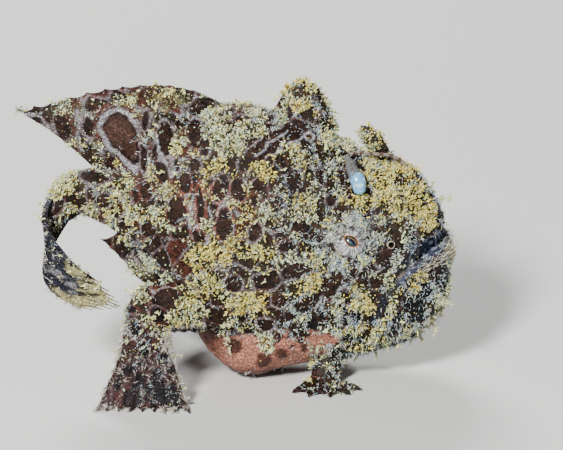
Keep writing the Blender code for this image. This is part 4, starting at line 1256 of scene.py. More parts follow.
def paint_mouth(points, painted, inside):
    """Colours the lips slate, and blue with pale dots below and inside, and thins the coat there."""
    x, away = points[:, 0], from_mouth(points)
    line = np.array(MOUTH_LINE)
    below = ramp(np.interp(x, line[:, 0], line[:, 1]) - points[:, 2], -0.2, 0.4)
    blue = below * ramp(x, 31.5, 33.5) * ramp(x, 40, 37.5)
    lips = ramp(away + 0.6 * FINE(points, 1.2, 2), 0.9 + 0.6 * blue, 0.2 + 0.6 * blue)
    within = ramp(away, 0.1, -0.3) * ramp(x, 37.5, 36)
    front, dots = ramp(x, 34, 36), FINE(points + 8, 0.6, 1)
    slate = layered(
        mix(LIP_SLATE, MOUTH_DARK, ramp(FINE(points + 7, 1.0, 2), -0.4, 0.3)),
        (LIP_BLUE, 0.4 * front),
        (LIP_DOTS, ramp(dots, 0.3, 0.5) * 0.5 * front),
    )
    dotted = mix(LIP_BLUE, LIP_DOTS, ramp(dots, 0.2, 0.42))
    dotted = mix(dotted, LIP_SLATE, ramp(MIDDLE(points + 8, 1.6, 2), 0.3, -0.2) * 0.8)
    lining = mix(MOUTH_DARK, LIP_BLUE, 0.25 + 0.5 * ramp(FINE(points + 9, 0.9, 2), -0.3, 0.4))
    painted["colour"] = layered(
        painted["colour"],
        (mix(slate, dotted, blue), lips * 0.85),
        (mix(lining, LIP_DOTS, ramp(dots, 0.26, 0.46) * 0.6), inside),
        (MOUTH_FOLD, within * (0.35 + 0.5 * ramp(MIDDLE(points + 12, 1.6, 2), -0.3, 0.3))),
    )
    painted["cloud"] = painted["cloud"] * (1 - 0.92 * lips)
    painted["bristle"] = painted["bristle"] * (1 - 0.6 * lips)
    for key in ("cloud", "bristle", "speck", "limb"):
        painted[key] = painted[key] * (1 - inside)


def paint_eyes(points, painted):
    """Draws dark and pale rays round each eye and the lids' pale rims, faint all round and brightest on the
    lower rear side as a painted highlight, and shapes the coat there.
    """
    for side in (-1, 1):
        height, away, turn = eye_places(points, side)
        ray = eye_rays(points, side)
        beside = np.abs(height) < EYE_MARK_DEPTH
        near = np.where(beside, ramp(away, 5.8, 3.6), 0)
        # painted highlight: the pale rims brightest on the lower rear side of the eye
        painted_light = 0.15 + 0.85 * np.clip(np.cos(turn + math.radians(130)), 0, 1)
        rims = sum(strong * ridge_at(away, EYE_OPEN + out, wide) for out, wide, strong in LID_RIMS)
        painted["colour"] = layered(
            painted["colour"],
            (mix(RAY_DARK, RAY_PALE, ray), near * 0.85),
            (LID_WHITE, np.where(beside, np.minimum(rims, 1), 0) * painted_light),
        )
        reach = np.where(beside, ramp(away, 2.6, 3.0) * ramp(away, 7.5, 5.0), 0)
        painted["speck"] = painted["speck"] * (1 - near)
        painted["cloud"] = np.maximum(painted["cloud"] * (1 - 0.7 * near), reach * ray * 0.5)
        painted["bristle"] = np.maximum(painted["bristle"] * (1 - 0.5 * near), reach * (0.1 + 0.35 * ray))


def paint_gill_shade(points, colour):
    # painted shade: the pit of the gill opening is filled with a dark colour
    x, z, radius = GILL_OPENING
    pit = np.hypot(points[:, 0] - x, points[:, 2] - z) < radius * 0.8
    colour[pit & (np.abs(points[:, 1]) < 16)] = GILL_PIT_SHADE


def add_colours(mesh, colours):
    """The colours as an attribute of the points, named markings."""
    attribute = mesh.color_attributes.new("markings", "FLOAT_COLOR", "POINT")
    values = np.column_stack([colours, np.ones(len(colours))]).astype(np.float32)
    attribute.data.foreach_set("color", values.ravel())


def build_mesh(name, points, faces, colours, material):
    """A smooth, coloured piece in the frame's place, riding on its body."""
    mesh = raw_mesh(name, (points + SHIFT) * MM, faces)
    mesh.polygons.foreach_set("use_smooth", np.ones(len(faces), bool))
    add_colours(mesh, colours)
    mesh.materials.append(material)
    obj = new_object(name, mesh)
    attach(obj, "root")
    return obj


# Materials


def set_inputs(tree, node, inputs):
    """Gives each input a constant, or joins it to another node's output."""
    for key, value in inputs.items():
        if isinstance(value, bpy.types.NodeSocket):
            tree.links.new(value, node.inputs[key])
        else:
            node.inputs[key].default_value = value


def add_node(tree, kind, output, inputs, **settings):
    """Adds a node and returns the output named."""
    node = tree.nodes.new(f"ShaderNode{kind}")
    for key, value in settings.items():
        setattr(node, key, value)
    set_inputs(tree, node, inputs)
    return node.outputs[output]


def map_range(tree, value, to_low, to_high, low=0.0, high=1.0):
    ends = {"From Min": low, "From Max": high, "To Min": to_low, "To Max": to_high}
    return add_node(tree, "MapRange", "Result", {"Value": value, **ends})


def new_material(name):
    made = bpy.data.materials.new(name)
    made.use_nodes = True
    return made, made.node_tree, made.node_tree.nodes["Principled BSDF"]


def material(name, roughness, grain, bump, gloss=0.0, tint=0.35, granules=0.0, shine=0.25):
    """A material that takes its colour from the markings, with grain in its colour, roughness and relief.

    Granules are raised dots that are lighter in their middle and darker at their rims, by the share given:
    partly the dots' own colour, partly painted shade that follows their relief.
    """
    made, tree, shader = new_material(name)
    place = add_node(tree, "TexCoord", "Object", {})
    marks = add_node(tree, "Attribute", "Color", {}, attribute_name="markings")
    fine = {"Vector": place, "Scale": 1 / (grain * MM), "Detail": 4, "Roughness": 0.65}
    noise = add_node(tree, "TexNoise", "Fac", fine)
    dots = add_node(tree, "TexVoronoi", "Distance", {"Vector": place, "Scale": 0.8 / (grain * MM)})
    domes = map_range(tree, dots, 1.0, 0.0, 0.1, 0.62)
    # partly painted shade: each dome brighter on top and darker at its rim, following its relief
    lighter = map_range(tree, domes, 1 - granules, 1 + granules * 1.4)
    shades = map_range(tree, noise, 1 - tint, 1 + tint, 0.3, 0.7)
    both = add_node(tree, "Math", "Value", {0: shades, 1: lighter}, operation="MULTIPLY")
    heights = add_node(tree, "Math", "Value", {0: noise, 1: domes}, operation="ADD")
    relief = {"Strength": 0.6, "Distance": bump * MM, "Height": heights}
    set_inputs(tree, shader, {
        "Base Color": add_node(tree, "VectorMath", "Vector", {0: marks, "Scale": both}, operation="SCALE"),
        "Roughness": map_range(tree, noise, roughness - 0.12, roughness + 0.12),
        "Normal": add_node(tree, "Bump", "Normal", relief),
        "Specular IOR Level": shine,
        "Coat Weight": gloss,
        "Coat Roughness": 0.05,
    })
    return made


SKIN = material("frogfish_skin", 0.6, 0.4, 0.16, tint=0.35, granules=0.45, shine=0.12)
FIN = material("frogfish_fin", 0.55, 0.36, 0.12, tint=0.35, granules=0.45, shine=0.14)
WART = material("frogfish_wart", 0.4, 0.3, 0.06, gloss=0.55, tint=0.25, shine=0.5)
BRISTLE = material("frogfish_bristle", 0.4, 0.3, 0.02, tint=0.15, shine=0.5)
EYE = material("frogfish_eye", 0.2, 0.25, 0.01, gloss=0.45, tint=0.12)
LURE = material("frogfish_lure", 0.32, 0.5, 0.03, gloss=0.5, tint=0.12)


# Nostrils, eyes and lure


def with_tips(values, first, last):
    """Values over a loft's rings as one row, and those of its two tips."""
    return np.concatenate([np.ravel(values), [first, last]])


def along_rings(count, sides):
    """A row from 0 at a loft's first ring to 1 at its last."""
    return with_tips(np.repeat(np.linspace(0, 1, count), sides), 0, 1)


def nostrils():
    """The four nostrils as one mesh, and its colours, with painted shade on the inner wall of each tube."""
    found = [nostril(*row, side) for side in (-1, 1) for row in (FRONT_NOSTRIL, REAR_NOSTRIL)]
    points, faces = joined(found)
    height = np.tile(along_rings(NOSTRIL_RINGS, NOSTRIL_SIDES), len(found))
    front = np.tile(np.repeat([1.0, 0.0], NOSTRIL_RINGS * NOSTRIL_SIDES + 2), 2)
    # painted shade: the inner wall of each tube is dark
    colour = layered(
        mix(GROUND_MAUVE, NOSTRIL_RIM, front),
        (NOSTRIL_INSIDE_SHADE, ramp(height, 0.58, 0.72)),
        (GROUND_MAUVE, ramp(height, 0.3, 0.1)),
    )
    return points, faces, colour * (0.85 + 0.25 * FINE(points, 0.4, 2))[:, None]


def eye_colour(circle, edge, long_way, short_way):
    """Colours from the place in the circle of noise, the pupil's edge and the two ways across the pupil, with
    painted reflections in the pupil: teal below, and gold, green and grey arcs.
    """
    streak = FINE(circle, 0.075, 2) + 0.3 * MIDDLE(circle * (1, 1, 6), 0.2, 1)
    reddish = ramp(edge, 0.9, 0.2) * ramp(MIDDLE(circle, 0.3, 1), 0.05, 0.4)
    inner = ramp(edge, -0.16, -0.26)
    upper = short_way - 0.42 * np.cos(1.2 * long_way)
    lower = short_way + 0.34 - 0.06 * long_way
    return layered(
        mix(IRIS_PALE, IRIS_BROWN, ramp(streak, 0.05, 0.4) * 0.6),
        (LID_WHITE, ramp(streak, -0.1, -0.4) * 0.7),
        (IRIS_RED, reddish * 0.2),
        (IRIS_ORANGE, ramp(np.abs(edge - 0.05), 0.08, 0.04)),
        (PUPIL_BLUE, ramp(edge, 0.02, -0.04)),
        # painted reflections inside the pupil: teal in its lower part, and gold, green and grey arcs
        (PUPIL_TEAL_REFLECTION, inner * ramp(short_way, 0.1, -0.4) * 0.5),
        (PUPIL_GOLD_REFLECTION, ramp(np.abs(upper), 0.11, 0.03) * inner * 0.55),
        (PUPIL_GREEN_REFLECTION, ramp(np.abs(upper - 0.15), 0.07, 0.02) * inner * 0.4),
        (PUPIL_GREY_REFLECTION, ramp(np.abs(lower), 0.14, 0.04) * inner * ramp(long_way, 0.5, 0.0)),
    )


def make_eye(word, side):
    """An eyeball with a domed lens in an oval pupil with painted reflections, an orange rim and a rayed iris.
    """
    spot, forward, upward, outward = eye_frame(side)
    centre = spot - outward * EYE_SINK
    leans = np.concatenate([np.linspace(0, 1.15, 80), np.linspace(1.25, math.pi - 0.05, 10)])
    lean, turn = np.meshgrid(leans[1:], circle_turns(EYE_SIDES), indexing="ij")
    away = EYE_RADIUS * np.sin(lean)
    ahead, above = away * np.cos(turn) - EYE_LOOK[0], away * np.sin(turn) - EYE_LOOK[1]
    long_way = ahead * math.cos(PUPIL_TILT) + above * math.sin(PUPIL_TILT)
    short_way = above * math.cos(PUPIL_TILT) - ahead * math.sin(PUPIL_TILT)
    reach = np.sqrt(np.abs(long_way / PUPIL[0]) ** 1.6 + (short_way / PUPIL[1]) ** 2)
    edge = (reach - 1) * PUPIL[1]
    dome = LENS_RISE * ramp(edge, 0.05, -0.35) - 0.07 * ridge_at(edge, 0, 0.1)
    radius = EYE_RADIUS + np.where(lean < 1.3, dome, 0)
    beside = np.sin(lean)
    ways = (beside * np.cos(turn), forward), (beside * np.sin(turn), upward), (np.cos(lean), outward)
    points = centre + radius[..., None] * sum(share[..., None] * way for share, way in ways)
    points, faces = loft(points, centre + outward * (EYE_RADIUS + LENS_RISE), centre - outward * EYE_RADIUS)
    if side < 0:
        faces = faces[:, ::-1]
    turn, away = with_tips(np.arctan2(above, ahead), 0, 0), with_tips(np.hypot(ahead, above), 0, 9)
    circle = eye_circle(turn, away, side)
    colour = eye_colour(circle, with_tips(edge, -1, 1), with_tips(long_way, 9, 9), with_tips(short_way, 9, 9))
    eye = build_mesh(f"{word}_eyeball", points, faces, colour, EYE)
    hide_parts(f"{word}_eye")


def make_lure():
    """The fishing rod laid back over the head, ringed like a worm, and its egg-shaped bait."""
    path = [ROUGH_BODY.from_above(*spot) for spot in ROD_SPOTS]
    points, faces = tube(path, ROD_RADII, ROD_RADII, (0, 1, 0.2), ROD_RINGS, ROD_SIDES)
    ring = np.minimum(np.arange(len(points)) // ROD_SIDES, ROD_RINGS - 1)
    middle = curve_through(path, ROD_RINGS)[ring]
    swell = 1 + 0.14 * np.sin(ring * 0.9)
    points[:-2] = (middle + (points - middle) * swell[:, None])[:-2]
    colour = mix(ROD_PALE, ROD_BROWN, ramp(np.sin(ring * 0.45), 0.0, 0.8))
    rod = build_mesh("fishing_rod", points, faces[:, ::-1], colour, LURE)
    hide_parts("lure_rod")

    path = [ROUGH_BODY.from_above(x, y, r + BAIT_LIFT) for (x, y), r in zip(BAIT_PATH, BAIT_RADII)]
    points, faces = tube(path, BAIT_RADII, BAIT_RADII, (0, 0, 1), BAIT_RINGS, BAIT_SIDES)
    points = points + vertex_normals(points, faces) * (0.05 * FINE(points, 0.8))[:, None]
    pale = ramp(along_rings(BAIT_RINGS, BAIT_SIDES) + 0.14 * FINE(points, 1.0), 0.5, 0.72)
    colour = layered(
        mix(BAIT_GREY, BAIT_PALE, pale),
        (BAIT_SPECK, ramp(FINE(points + 5, 0.35, 2), 0.1, 0.6) * (1 - pale) * 0.8),
        # painted highlights: white patches laid by noise over the bait's pale end
        (WART_WHITE, ramp(FINE(points + 6, 0.7, 2), 0.3, 0.7) * pale * 0.4),
    )
    bait = build_mesh("bait", points, faces, colour, LURE)
    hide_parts("lure_bait")


# The shapes of the coat, and what it grows on


def icosahedron():
    work = bmesh.new()
    bmesh.ops.create_icosphere(work, subdivisions=1, radius=1.0)
    points = np.array([v.co for v in work.verts])
    faces = np.array([[v.index for v in f.verts] for f in work.faces])
    work.free()
    return points, faces


def octahedron():
    points = np.array([(1, 0, 0), (0, 1, 0), (-1, 0, 0), (0, -1, 0), (0, 0, 1), (0, 0, -1)], float)
    faces = np.array([(0, 1, 4), (1, 2, 4), (2, 3, 4), (3, 0, 4), (1, 0, 5), (2, 1, 5), (3, 2, 5), (0, 3, 5)])
    return points, faces


def three_sided(tip, *levels):
    """A closed shape of three sides along Z. Its tip is x and z, and each level is size, x and z."""
    turns = circle_turns(3)
    ring = np.column_stack([np.cos(turns), np.sin(turns), np.zeros(3)])
    points = np.vstack([ring * size + (x, 0, z) for size, x, z in levels] + [(tip[0], 0, tip[1])])
    last, pairs = 3 * len(levels) - 3, ((0, 1), (1, 2), (2, 0))
    faces = [(0, 2, 1)]
    for start in range(0, last, 3):
        for j, k in pairs:
            faces += [(start + j, start + k, start + k + 3), (start + j, start + k + 3, start + j + 3)]
    faces += [(last + j, last + k, last + 3) for j, k in pairs]
    return points, np.array(faces)


BEAD, GRAIN = icosahedron(), octahedron()
SPIKE = three_sided((0.8, 1.0), (1.0, 0, 0))
BENT_SPIKE = three_sided((2.6, 1.0), (1.0, 0, 0), (0.8, 0.9, 0.55))
STUB = three_sided((1.6, 1.0), (0.8, 0, 0), (1.1, 0.5, 0.45), (0.85, 1.3, 0.85))


def patch_corners(count):
    """Each face's three corners in a cell of its own, in a square patch round the middle."""
    wide = math.ceil(math.sqrt(count))
    cell = 1 / wide
    corners = np.array([(0.1, 0.1), (0.9, 0.1), (0.1, 0.9)]) * cell
    starts = np.array([(i % wide, i // wide) for i in range(count)]) * cell
    return (starts[:, None, :] + corners - 0.5) * PATCH_SIZE


def set_bake_map(obj, corners):
    layer = obj.data.uv_layers.new(name="OFBake")
    layer.data.foreach_set("uv", np.clip(corners, 0, 1).astype(np.float32).ravel())


class Host:
    """What the coat grows on: the skin and fins as triangles, with an unwrap."""

    def __init__(self, surfaces, rough_surfaces):
        self.points, self.faces = joined([(points, triangles(faces)) for points, faces in surfaces])
        self.normals = vertex_normals(self.points, self.faces)
        a, b, c = (self.points[self.faces[:, k]] for k in range(3))
        self.areas = np.linalg.norm(np.cross(b - a, c - a), axis=1) / 2
        self.tree = tree_of(self.points, self.faces)
        self.unwrap(rough_surfaces)

    def unwrap(self, surfaces):
        """A map of a rougher copy of the same shape, cut and laid flat."""
        self.map_points, self.map_faces = joined(surfaces)
        obj = new_object("unwrap", raw_mesh("unwrap", self.map_points, self.map_faces))
        bpy.context.view_layer.objects.active = obj
        obj.select_set(True)
        bpy.ops.object.mode_set(mode="EDIT")
        bpy.ops.mesh.select_all(action="SELECT")
        bpy.ops.uv.smart_project(angle_limit=math.radians(66), island_margin=0.002)
        bpy.ops.object.mode_set(mode="OBJECT")
        corners = np.empty(len(obj.data.loops) * 2, np.float32)
        obj.data.uv_layers.active.data.foreach_get("uv", corners)
        self.map_corners = corners.reshape(-1, 3, 2)
        self.map_tree = tree_of(self.map_points, self.map_faces)
        bpy.data.objects.remove(obj)

    def on_map(self, places):
        """Where places on the surface fall on the unwrap."""
        hits, faces = np.empty((len(places), 3)), np.empty(len(places), int)
        for i, place in enumerate(places):
            hits[i], _, faces[i], _ = self.map_tree.find_nearest(Vector(place))
        a, b, c = (self.map_points[self.map_faces[faces, k]] for k in range(3))
        e, f, g = b - a, c - a, hits - a
        ee, ff, ef = (e * e).sum(1), (f * f).sum(1), (e * f).sum(1)
        ge, gf = (g * e).sum(1), (g * f).sum(1)
        below = np.maximum(ee * ff - ef * ef, 1e-12)
        v, w = (ff * ge - ef * gf) / below, (ee * gf - ef * ge) / below
        corners = self.map_corners[faces]
        found = corners[:, 0] + v[:, None] * (corners[:, 1] - corners[:, 0])
        return np.clip(found + w[:, None] * (corners[:, 2] - corners[:, 0]), 0.002, 0.998)

    def settle(self, places):
        """The nearest places on the surface, with their normals and their faces' first points."""
        found, normals = np.empty((2, len(places), 3))
        near = np.empty(len(places), int)
        for i, place in enumerate(places):
            found[i], normals[i], near[i], _ = self.tree.find_nearest(Vector(place))
        return found, normals, self.faces[near, 0]

    def roots(self, count, density, random):
        """Random places on the surface, thick where density is high, with normals and the nearest point."""
        share = self.areas * density[self.faces].mean(axis=1)
        face = self.faces[random.choice(len(self.faces), count, p=share / share.sum())]
        u, v = random.random(count), random.random(count)
        flip = u + v > 1
        u[flip], v[flip] = 1 - u[flip], 1 - v[flip]
        weights = np.stack([1 - u - v, u, v])
        places = sum(weights[k][:, None] * self.points[face[:, k]] for k in range(3))
        normals = unit(sum(weights[k][:, None] * self.normals[face[:, k]] for k in range(3)))
        return places, normals, face[np.arange(count), np.argmax(weights, axis=0)]


def square_to(ways, axes):
    """Unit directions square to the axes, nearest to the ways."""
    return unit(ways - (ways * axes).sum(1)[:, None] * axes)


def bases(axes, random):
    """Frames whose third direction is the axis given, turned at random round it."""
    first = square_to(unit(random.normal(size=axes.shape)), axes)
    return np.stack([first, np.cross(axes, first), axes], axis=1)


def lie(places, normals):
    """The way the coat lies at each place: back and down, along the surface."""
    return square_to(np.broadcast_to(np.array([-1.0, 0.0, -0.35]), places.shape), normals)


def needles(wide, length):
    """Sizes of thin shapes along Z."""
    return np.column_stack([wide, wide, length])


def build_tufts(name, template, places, frames, sizes, colours, painted_light, uvs, material):
    """Many copies of a template in pieces of at most MOST_TRIANGLES triangles, each a patch on the unwrap.

    Each copy is painted with shade: its colour is scaled from the first share at its foot, darker, to the
    second at its top, brighter.
    """
    shape, faces = template
    rise = shape[:, 2]
    # painted shade and light: each copy darker at its foot and brighter at its top
    shades = painted_light[0] + (painted_light[1] - painted_light[0]) * (rise - rise.min()) / (rise.max() - rise.min())
    corners = patch_corners(len(faces))
    most = MOST_TRIANGLES // len(faces)
    for number, start in enumerate(range(0, len(places), most)):
        some = slice(start, start + most)
        scaled = shape[None] * sizes[some][:, None, :]
        points = places[some][:, None, :] + np.einsum("nkj,njc->nkc", scaled, frames[some])
        points = above_floor(points, COAT_CLEAR)
        all_faces = (faces[None] + (np.arange(len(points)) * len(shape))[:, None, None]).reshape(-1, 3)
        tint = np.clip(colours[some][:, None, :] * shades[None, :, None], 0, 1).reshape(-1, 3)
        obj = build_mesh(f"{name}_{number + 1}", points.reshape(-1, 3), all_faces, tint, material)
        set_bake_map(obj, uvs[some][:, None, None, :] + corners[None])


# The coat


def spaced(places, gap):
    """Which of the places to keep, so that none lies nearer than the gap to one before it."""
    kept, grid = [], {}
    for i, place in enumerate(places):
        cell = tuple(np.floor(place / gap).astype(int))
        beside = itertools.product(*[(c - 1, c, c + 1) for c in cell])
        close = [j for key in beside for j in grid.get(key, ())]
        if not close or np.min(np.sum((places[close] - place) ** 2, axis=1)) > gap * gap:
            kept.append(i)
            grid.setdefault(cell, []).append(i)
    return np.array(kept)


def wart_tints(yellow, random):
    """Colours between white, cream and yellow by the share of yellow, and a few of rust."""
    share = np.clip(yellow + random.normal(0, 0.34, len(yellow)), 0, 1)
    rusty = random.random(len(yellow)) < 0.02 + 0.08 * yellow
    return layered(
        mix(WART_WHITE, WART_CREAM, ramp(share, 0.0, 0.5)),
        (WART_YELLOW, ramp(share, 0.4, 1.0) * 0.9),
        (WART_RUST, rusty * 0.8),
    )


def clear_of_openings(points):
    """0 over the eyes and nostrils, rising to 1 away from their rims, further off below and behind an eye."""
    found = np.ones(len(points))
    for side in (-1, 1):
        height, away, turn = eye_places(points, side)
        below = np.clip(np.cos(turn + math.radians(125)), 0, 1)
        start = EYE_OPEN + 0.1 + 0.7 * below
        reach = start + 0.15 + (0.6 + 1.0 * (1 - eye_rays(points, side))) * (0.35 + below)
        found = np.minimum(found, np.where(np.abs(height) < EYE_MARK_DEPTH, ramp(away, start, reach), 1))
        for (x, z, _, _), size in ((FRONT_NOSTRIL, 1.0), (REAR_NOSTRIL, 0.6)):
            away = np.linalg.norm(points - ROUGH_BODY.from_side(x, z, side)[0], axis=1)
            found = np.minimum(found, ramp(away, size, size + 0.5))
    return found


def grow_clumps(host, painted, clear, face, random):
    """Clumps of stubs that lean out from their middle and carry beads and grains, with gaps between them."""
    density = painted["cloud"] ** 1.3 * clear + 1e-6
    places, normals, near = host.roots(CLUMP_TRIES, density, random)
    kept = spaced(places, CLUMP_GAP)
    kept = kept[painted["cloud"][near[kept]] * clear[near[kept]] > random.uniform(0.08, 0.45, len(kept))]
    centres, normals, near = places[kept], normals[kept], near[kept]
    strength = painted["cloud"][near]
    radii = random.uniform(0.45, 0.95, len(kept)) * (0.65 + 0.35 * strength)
    yellow = np.clip(painted["yellow"][near] * 1.1 + random.normal(0, 0.16, len(kept)), 0, 1)
    light = random.uniform(0.7, 1.0, len(kept)) * (0.94 + 0.16 * yellow)

    count = STUB_COUNT
    weight = radii**2 * (0.35 + strength) ** 1.6
    picked = random.choice(len(kept), count, p=weight / weight.sum())
    around = square_to(random.normal(size=(count, 3)), normals[picked])
    reach = np.sqrt(random.random(count))
    roots, normals, near = host.settle(centres[picked] + around * (radii[picked] * reach)[:, None])
    axes = unit(normals + around * (0.95 * reach)[:, None] + random.normal(0, 0.22, (count, 3)))
    length = random.uniform(0.6, 1.0, count) * (0.5 + 0.75 * radii[picked]) * (1.2 - 0.5 * reach**2)
    length = length * (1 - 0.25 * face[near])
    wide = random.uniform(0.075, 0.125, count)
    frames = bases(axes, random)
    spots = host.on_map(roots)
    # painted shade: stubs darker towards the rim of their clump, and each one dark at its foot and bright at
    # its top
    shade = light[picked] * random.uniform(0.62, 1.0, count) * (1 - 0.25 * reach**2)
    build_tufts(
        "stubs", STUB, roots - normals * 0.12, frames, needles(wide, length + 0.12),
        wart_tints(yellow[picked], random) * shade[:, None], (0.03, 1.25), spots, WART,
    )
    for name, shape, count, small, large, low in (
        ("beads", BEAD, BEAD_COUNT, 0.1, 0.19, 0.75),
        ("grains", GRAIN, GRAIN_COUNT, 0.07, 0.135, 0.25),
    ):
        stem = random.integers(STUB_COUNT, size=count)
        share = low + (1.1 - low) * random.random(count) ** 0.8
        aside = random.normal(0, 0.11, (count, 3)) + frames[stem, 0] * (1.4 * wide[stem] * share)[:, None]
        heads = roots[stem] + axes[stem] * (length[stem] * share)[:, None] + aside
        size = random.uniform(small, large, count) * (1 - 0.2 * face[near[stem]])
        # painted shade: beads and grains low on a stub are darker, those near its top brighter
        outer = 0.35 + 0.65 * ramp(share, 0.2, 0.85)
        shade = light[picked[stem]] * random.uniform(0.62, 1.0, count) * outer
        shade = shade * np.where(random.random(count) < 0.15, 0.35, 1)
        build_tufts(
            name, shape, heads, bases(axes[stem], random),
            size[:, None] * random.uniform(0.8, 1.45, (count, 3)),
            wart_tints(yellow[picked[stem]], random) * shade[:, None], (0.6, 1.12), spots[stem], WART,
        )


def grow_coat(host, painted):
    """Clumps in the clouds, and between them loose grains, pale bristles and small dark granules."""
    random = np.random.default_rng(COAT_SEED)
    clear = clear_of_openings(host.points)
    face = np.maximum(ramp(host.points[:, 0], 30, 40) * 0.3, 1 - clear)
    grow_clumps(host, painted, clear, face, random)

    count = LOOSE_COUNT
    density = (0.03 + painted["cloud"] ** 1.6) * (1 - painted["bare"]) * clear + 1e-4
    places, normals, near = host.roots(count, density, random)
    size = random.uniform(0.09, 0.19, count)
    colour = wart_tints(painted["yellow"][near], random) * random.uniform(0.3, 0.9, count)[:, None]
    build_tufts(
        "loose_grains", GRAIN, places + normals * 0.03, bases(normals, random),
        size[:, None] * random.uniform(0.8, 1.7, (count, 3)), colour, (0.6, 1.1), host.on_map(places), WART,
    )

    patchy = ramp(MIDDLE(host.points + 66, 1.6, 2), -0.25, 0.3)
    density = painted["bristle"] * (0.2 + 0.8 * patchy) * (0.04 + 0.96 * clear) + 1e-5
    for name, shape, count, longest in (
        ("bristles", BENT_SPIKE, BRISTLE_COUNT, 1.35),
        ("frost", SPIKE, FROST_COUNT, 0.8),
    ):
        places, normals, near = host.roots(count, density, random)
        axes = unit(normals * 0.8 + lie(places, normals) * 0.4 + random.normal(0, 0.45, (count, 3)))
        length = random.uniform(0.4, 1.0, count) * longest * (1 - 0.3 * face[near])
        wide = random.uniform(0.065, 0.11, count)
        colour = mix(BRISTLE_WHITE, BRISTLE_BLUE, ramp(random.random(count), 0.3, 0.8))
        cream = ramp(random.random(count), 0.6, 0.9) * (0.4 + 0.6 * painted["yellow"][near])
        colour = mix(colour, WART_CREAM, cream) * (random.uniform(0.35, 1.0, count) ** 0.5)[:, None]
        build_tufts(
            name, shape, places - normals * 0.08, bases(axes, random), needles(wide, length), colour,
            (0.35, 1.15), host.on_map(places), BRISTLE,
        )

    count = GRANULE_COUNT
    places, normals, near = host.roots(count, painted["speck"] * (0.1 + 0.9 * clear) + 1e-5, random)
    axes = unit(normals + random.normal(0, 0.3, (count, 3)))
    length = random.uniform(0.16, 0.34, count)
    wide = random.uniform(0.09, 0.16, count)
    colour = painted["colour"][near] * (1, 0.9, 0.8) * random.uniform(0.3, 2.1, count)[:, None]
    build_tufts(
        "granules", SPIKE, places - normals * 0.06, bases(axes, random), needles(wide, length), colour,
        (0.6, 1.4), host.on_map(places), BRISTLE,
    )


def grow_sprigs(host, painted):
    """Starry bunches of long thin bristles, thickest on the limbs, the chin and the edge of the belly."""
    random = np.random.default_rng(SPRIG_SEED)
    x, _, z = host.points.T
    chin = ramp(x, 24, 34) * ramp(z, 22, 12)
    limb = painted["limb"] * (0.2 + 4.5 * painted["rim"])
    density = 0.06 + limb + 0.25 * chin + 0.15 * painted["cloud"] + 2.0 * painted["edge"]
    density = density * (1 - 0.8 * painted["bare"]) * (1 - 0.92 * painted["spots"])
    density = density * clear_of_openings(host.points) + 1e-6
    places, normals, _ = host.roots(SPRIG_COUNT, density, random)
    roots, axes, lengths = [], [], []
    for place, normal, way in zip(places, normals, lie(places, normals)):
        count = random.integers(6, 13)
        main = unit(normal + 0.4 * way + random.normal(0, 0.2, 3))
        size = random.uniform(0.9, 2.2)
        roots.append(np.repeat(place[None], count, 0) - normal * 0.1)
        axes.append(unit(main + random.normal(0, 0.5, (count, 3))))
        lengths.append(size * random.uniform(0.5, 1.0, count))
    fringe = lip_path(-1, FRINGE_DROP)
    fringe = fringe[fringe[:, 0] > FRINGE_FRONT_X]
    ways = unit(np.gradient(fringe, axis=0))
    ways = ways * np.sign(ways[:, :1] + 1e-9)
    for root, way in zip(fringe, ways):
        spots = root + random.normal(0, 0.8, (FRINGE_COUNT, 3))
        outward = unit(np.array([root[0] - MOUTH_PIVOT_X + 6, root[1], 0.0]))
        roots.append(spots - outward * 0.7)
        main = outward * 0.6 + way * 0.6 + (0, 0, 0.7)
        axes.append(unit(main + random.normal(0, 0.38, (FRINGE_COUNT, 3))))
        lengths.append(random.uniform(0.9, 2.1, FRINGE_COUNT))
    roots, axes, lengths = np.vstack(roots), np.vstack(axes), np.concatenate(lengths)
    count = len(roots)
    wide = random.uniform(0.05, 0.08, count)
    colour = mix(SPRIG_CREAM, BRISTLE_WHITE, random.random(count) * 0.7)
    colour = mix(colour, HAND_MAUVE, (random.random(count) < 0.1) * 0.7)
    colour = colour * random.uniform(0.55, 1.0, count)[:, None]
    build_tufts(
        "sprigs", BENT_SPIKE, roots, bases(axes, random), needles(wide, lengths), colour, (0.4, 1.15),
        host.on_map(roots), BRISTLE,
    )


def leaf(root, normal, way, length, random):
    """A flat branching flap: a bent stem with side lobes, all closed pieces."""
    tip_way = normal * random.uniform(0.7, 1.0) + way * random.uniform(0.2, 0.7)
    tip_way = unit(tip_way + random.normal(0, 0.2, 3))
    middle = root + (normal * 0.55 + way * 0.12) * length * 0.5
    tip = root + tip_way * length
    hint = random.normal(size=3)
    thick = 0.1 + 0.03 * length
    path = [root - normal * 0.5, middle, tip]
    pieces = [tube(path, (thick * 1.2, thick * 1.4, 0.06), (thick * 0.8, thick * 0.7, 0.05), hint, 5, 5)]
    side = unit(np.cross(tip_way, hint))
    for _ in range(int(4 + length * 2.0)):
        share = random.uniform(0.3, 0.95)
        if share < 0.5:
            start = root + (middle - root) * share * 2
        else:
            start = middle + (tip - middle) * (share * 2 - 1)
        out = side * random.choice((-1, 1)) + tip_way * random.uniform(0.1, 0.9)
        out = unit(out + random.normal(0, 0.35, 3))
        reach = length * random.uniform(0.2, 0.45) * (1.15 - 0.5 * share)
        width = thick * random.uniform(0.55, 0.9)
        path = [start, start + out * reach * 0.6, start + out * reach]
        pieces.append(tube(path, (width, width * 1.2, 0.07), (width * 0.8, width * 0.8, 0.06), hint, 3, 4))
    return joined(pieces)


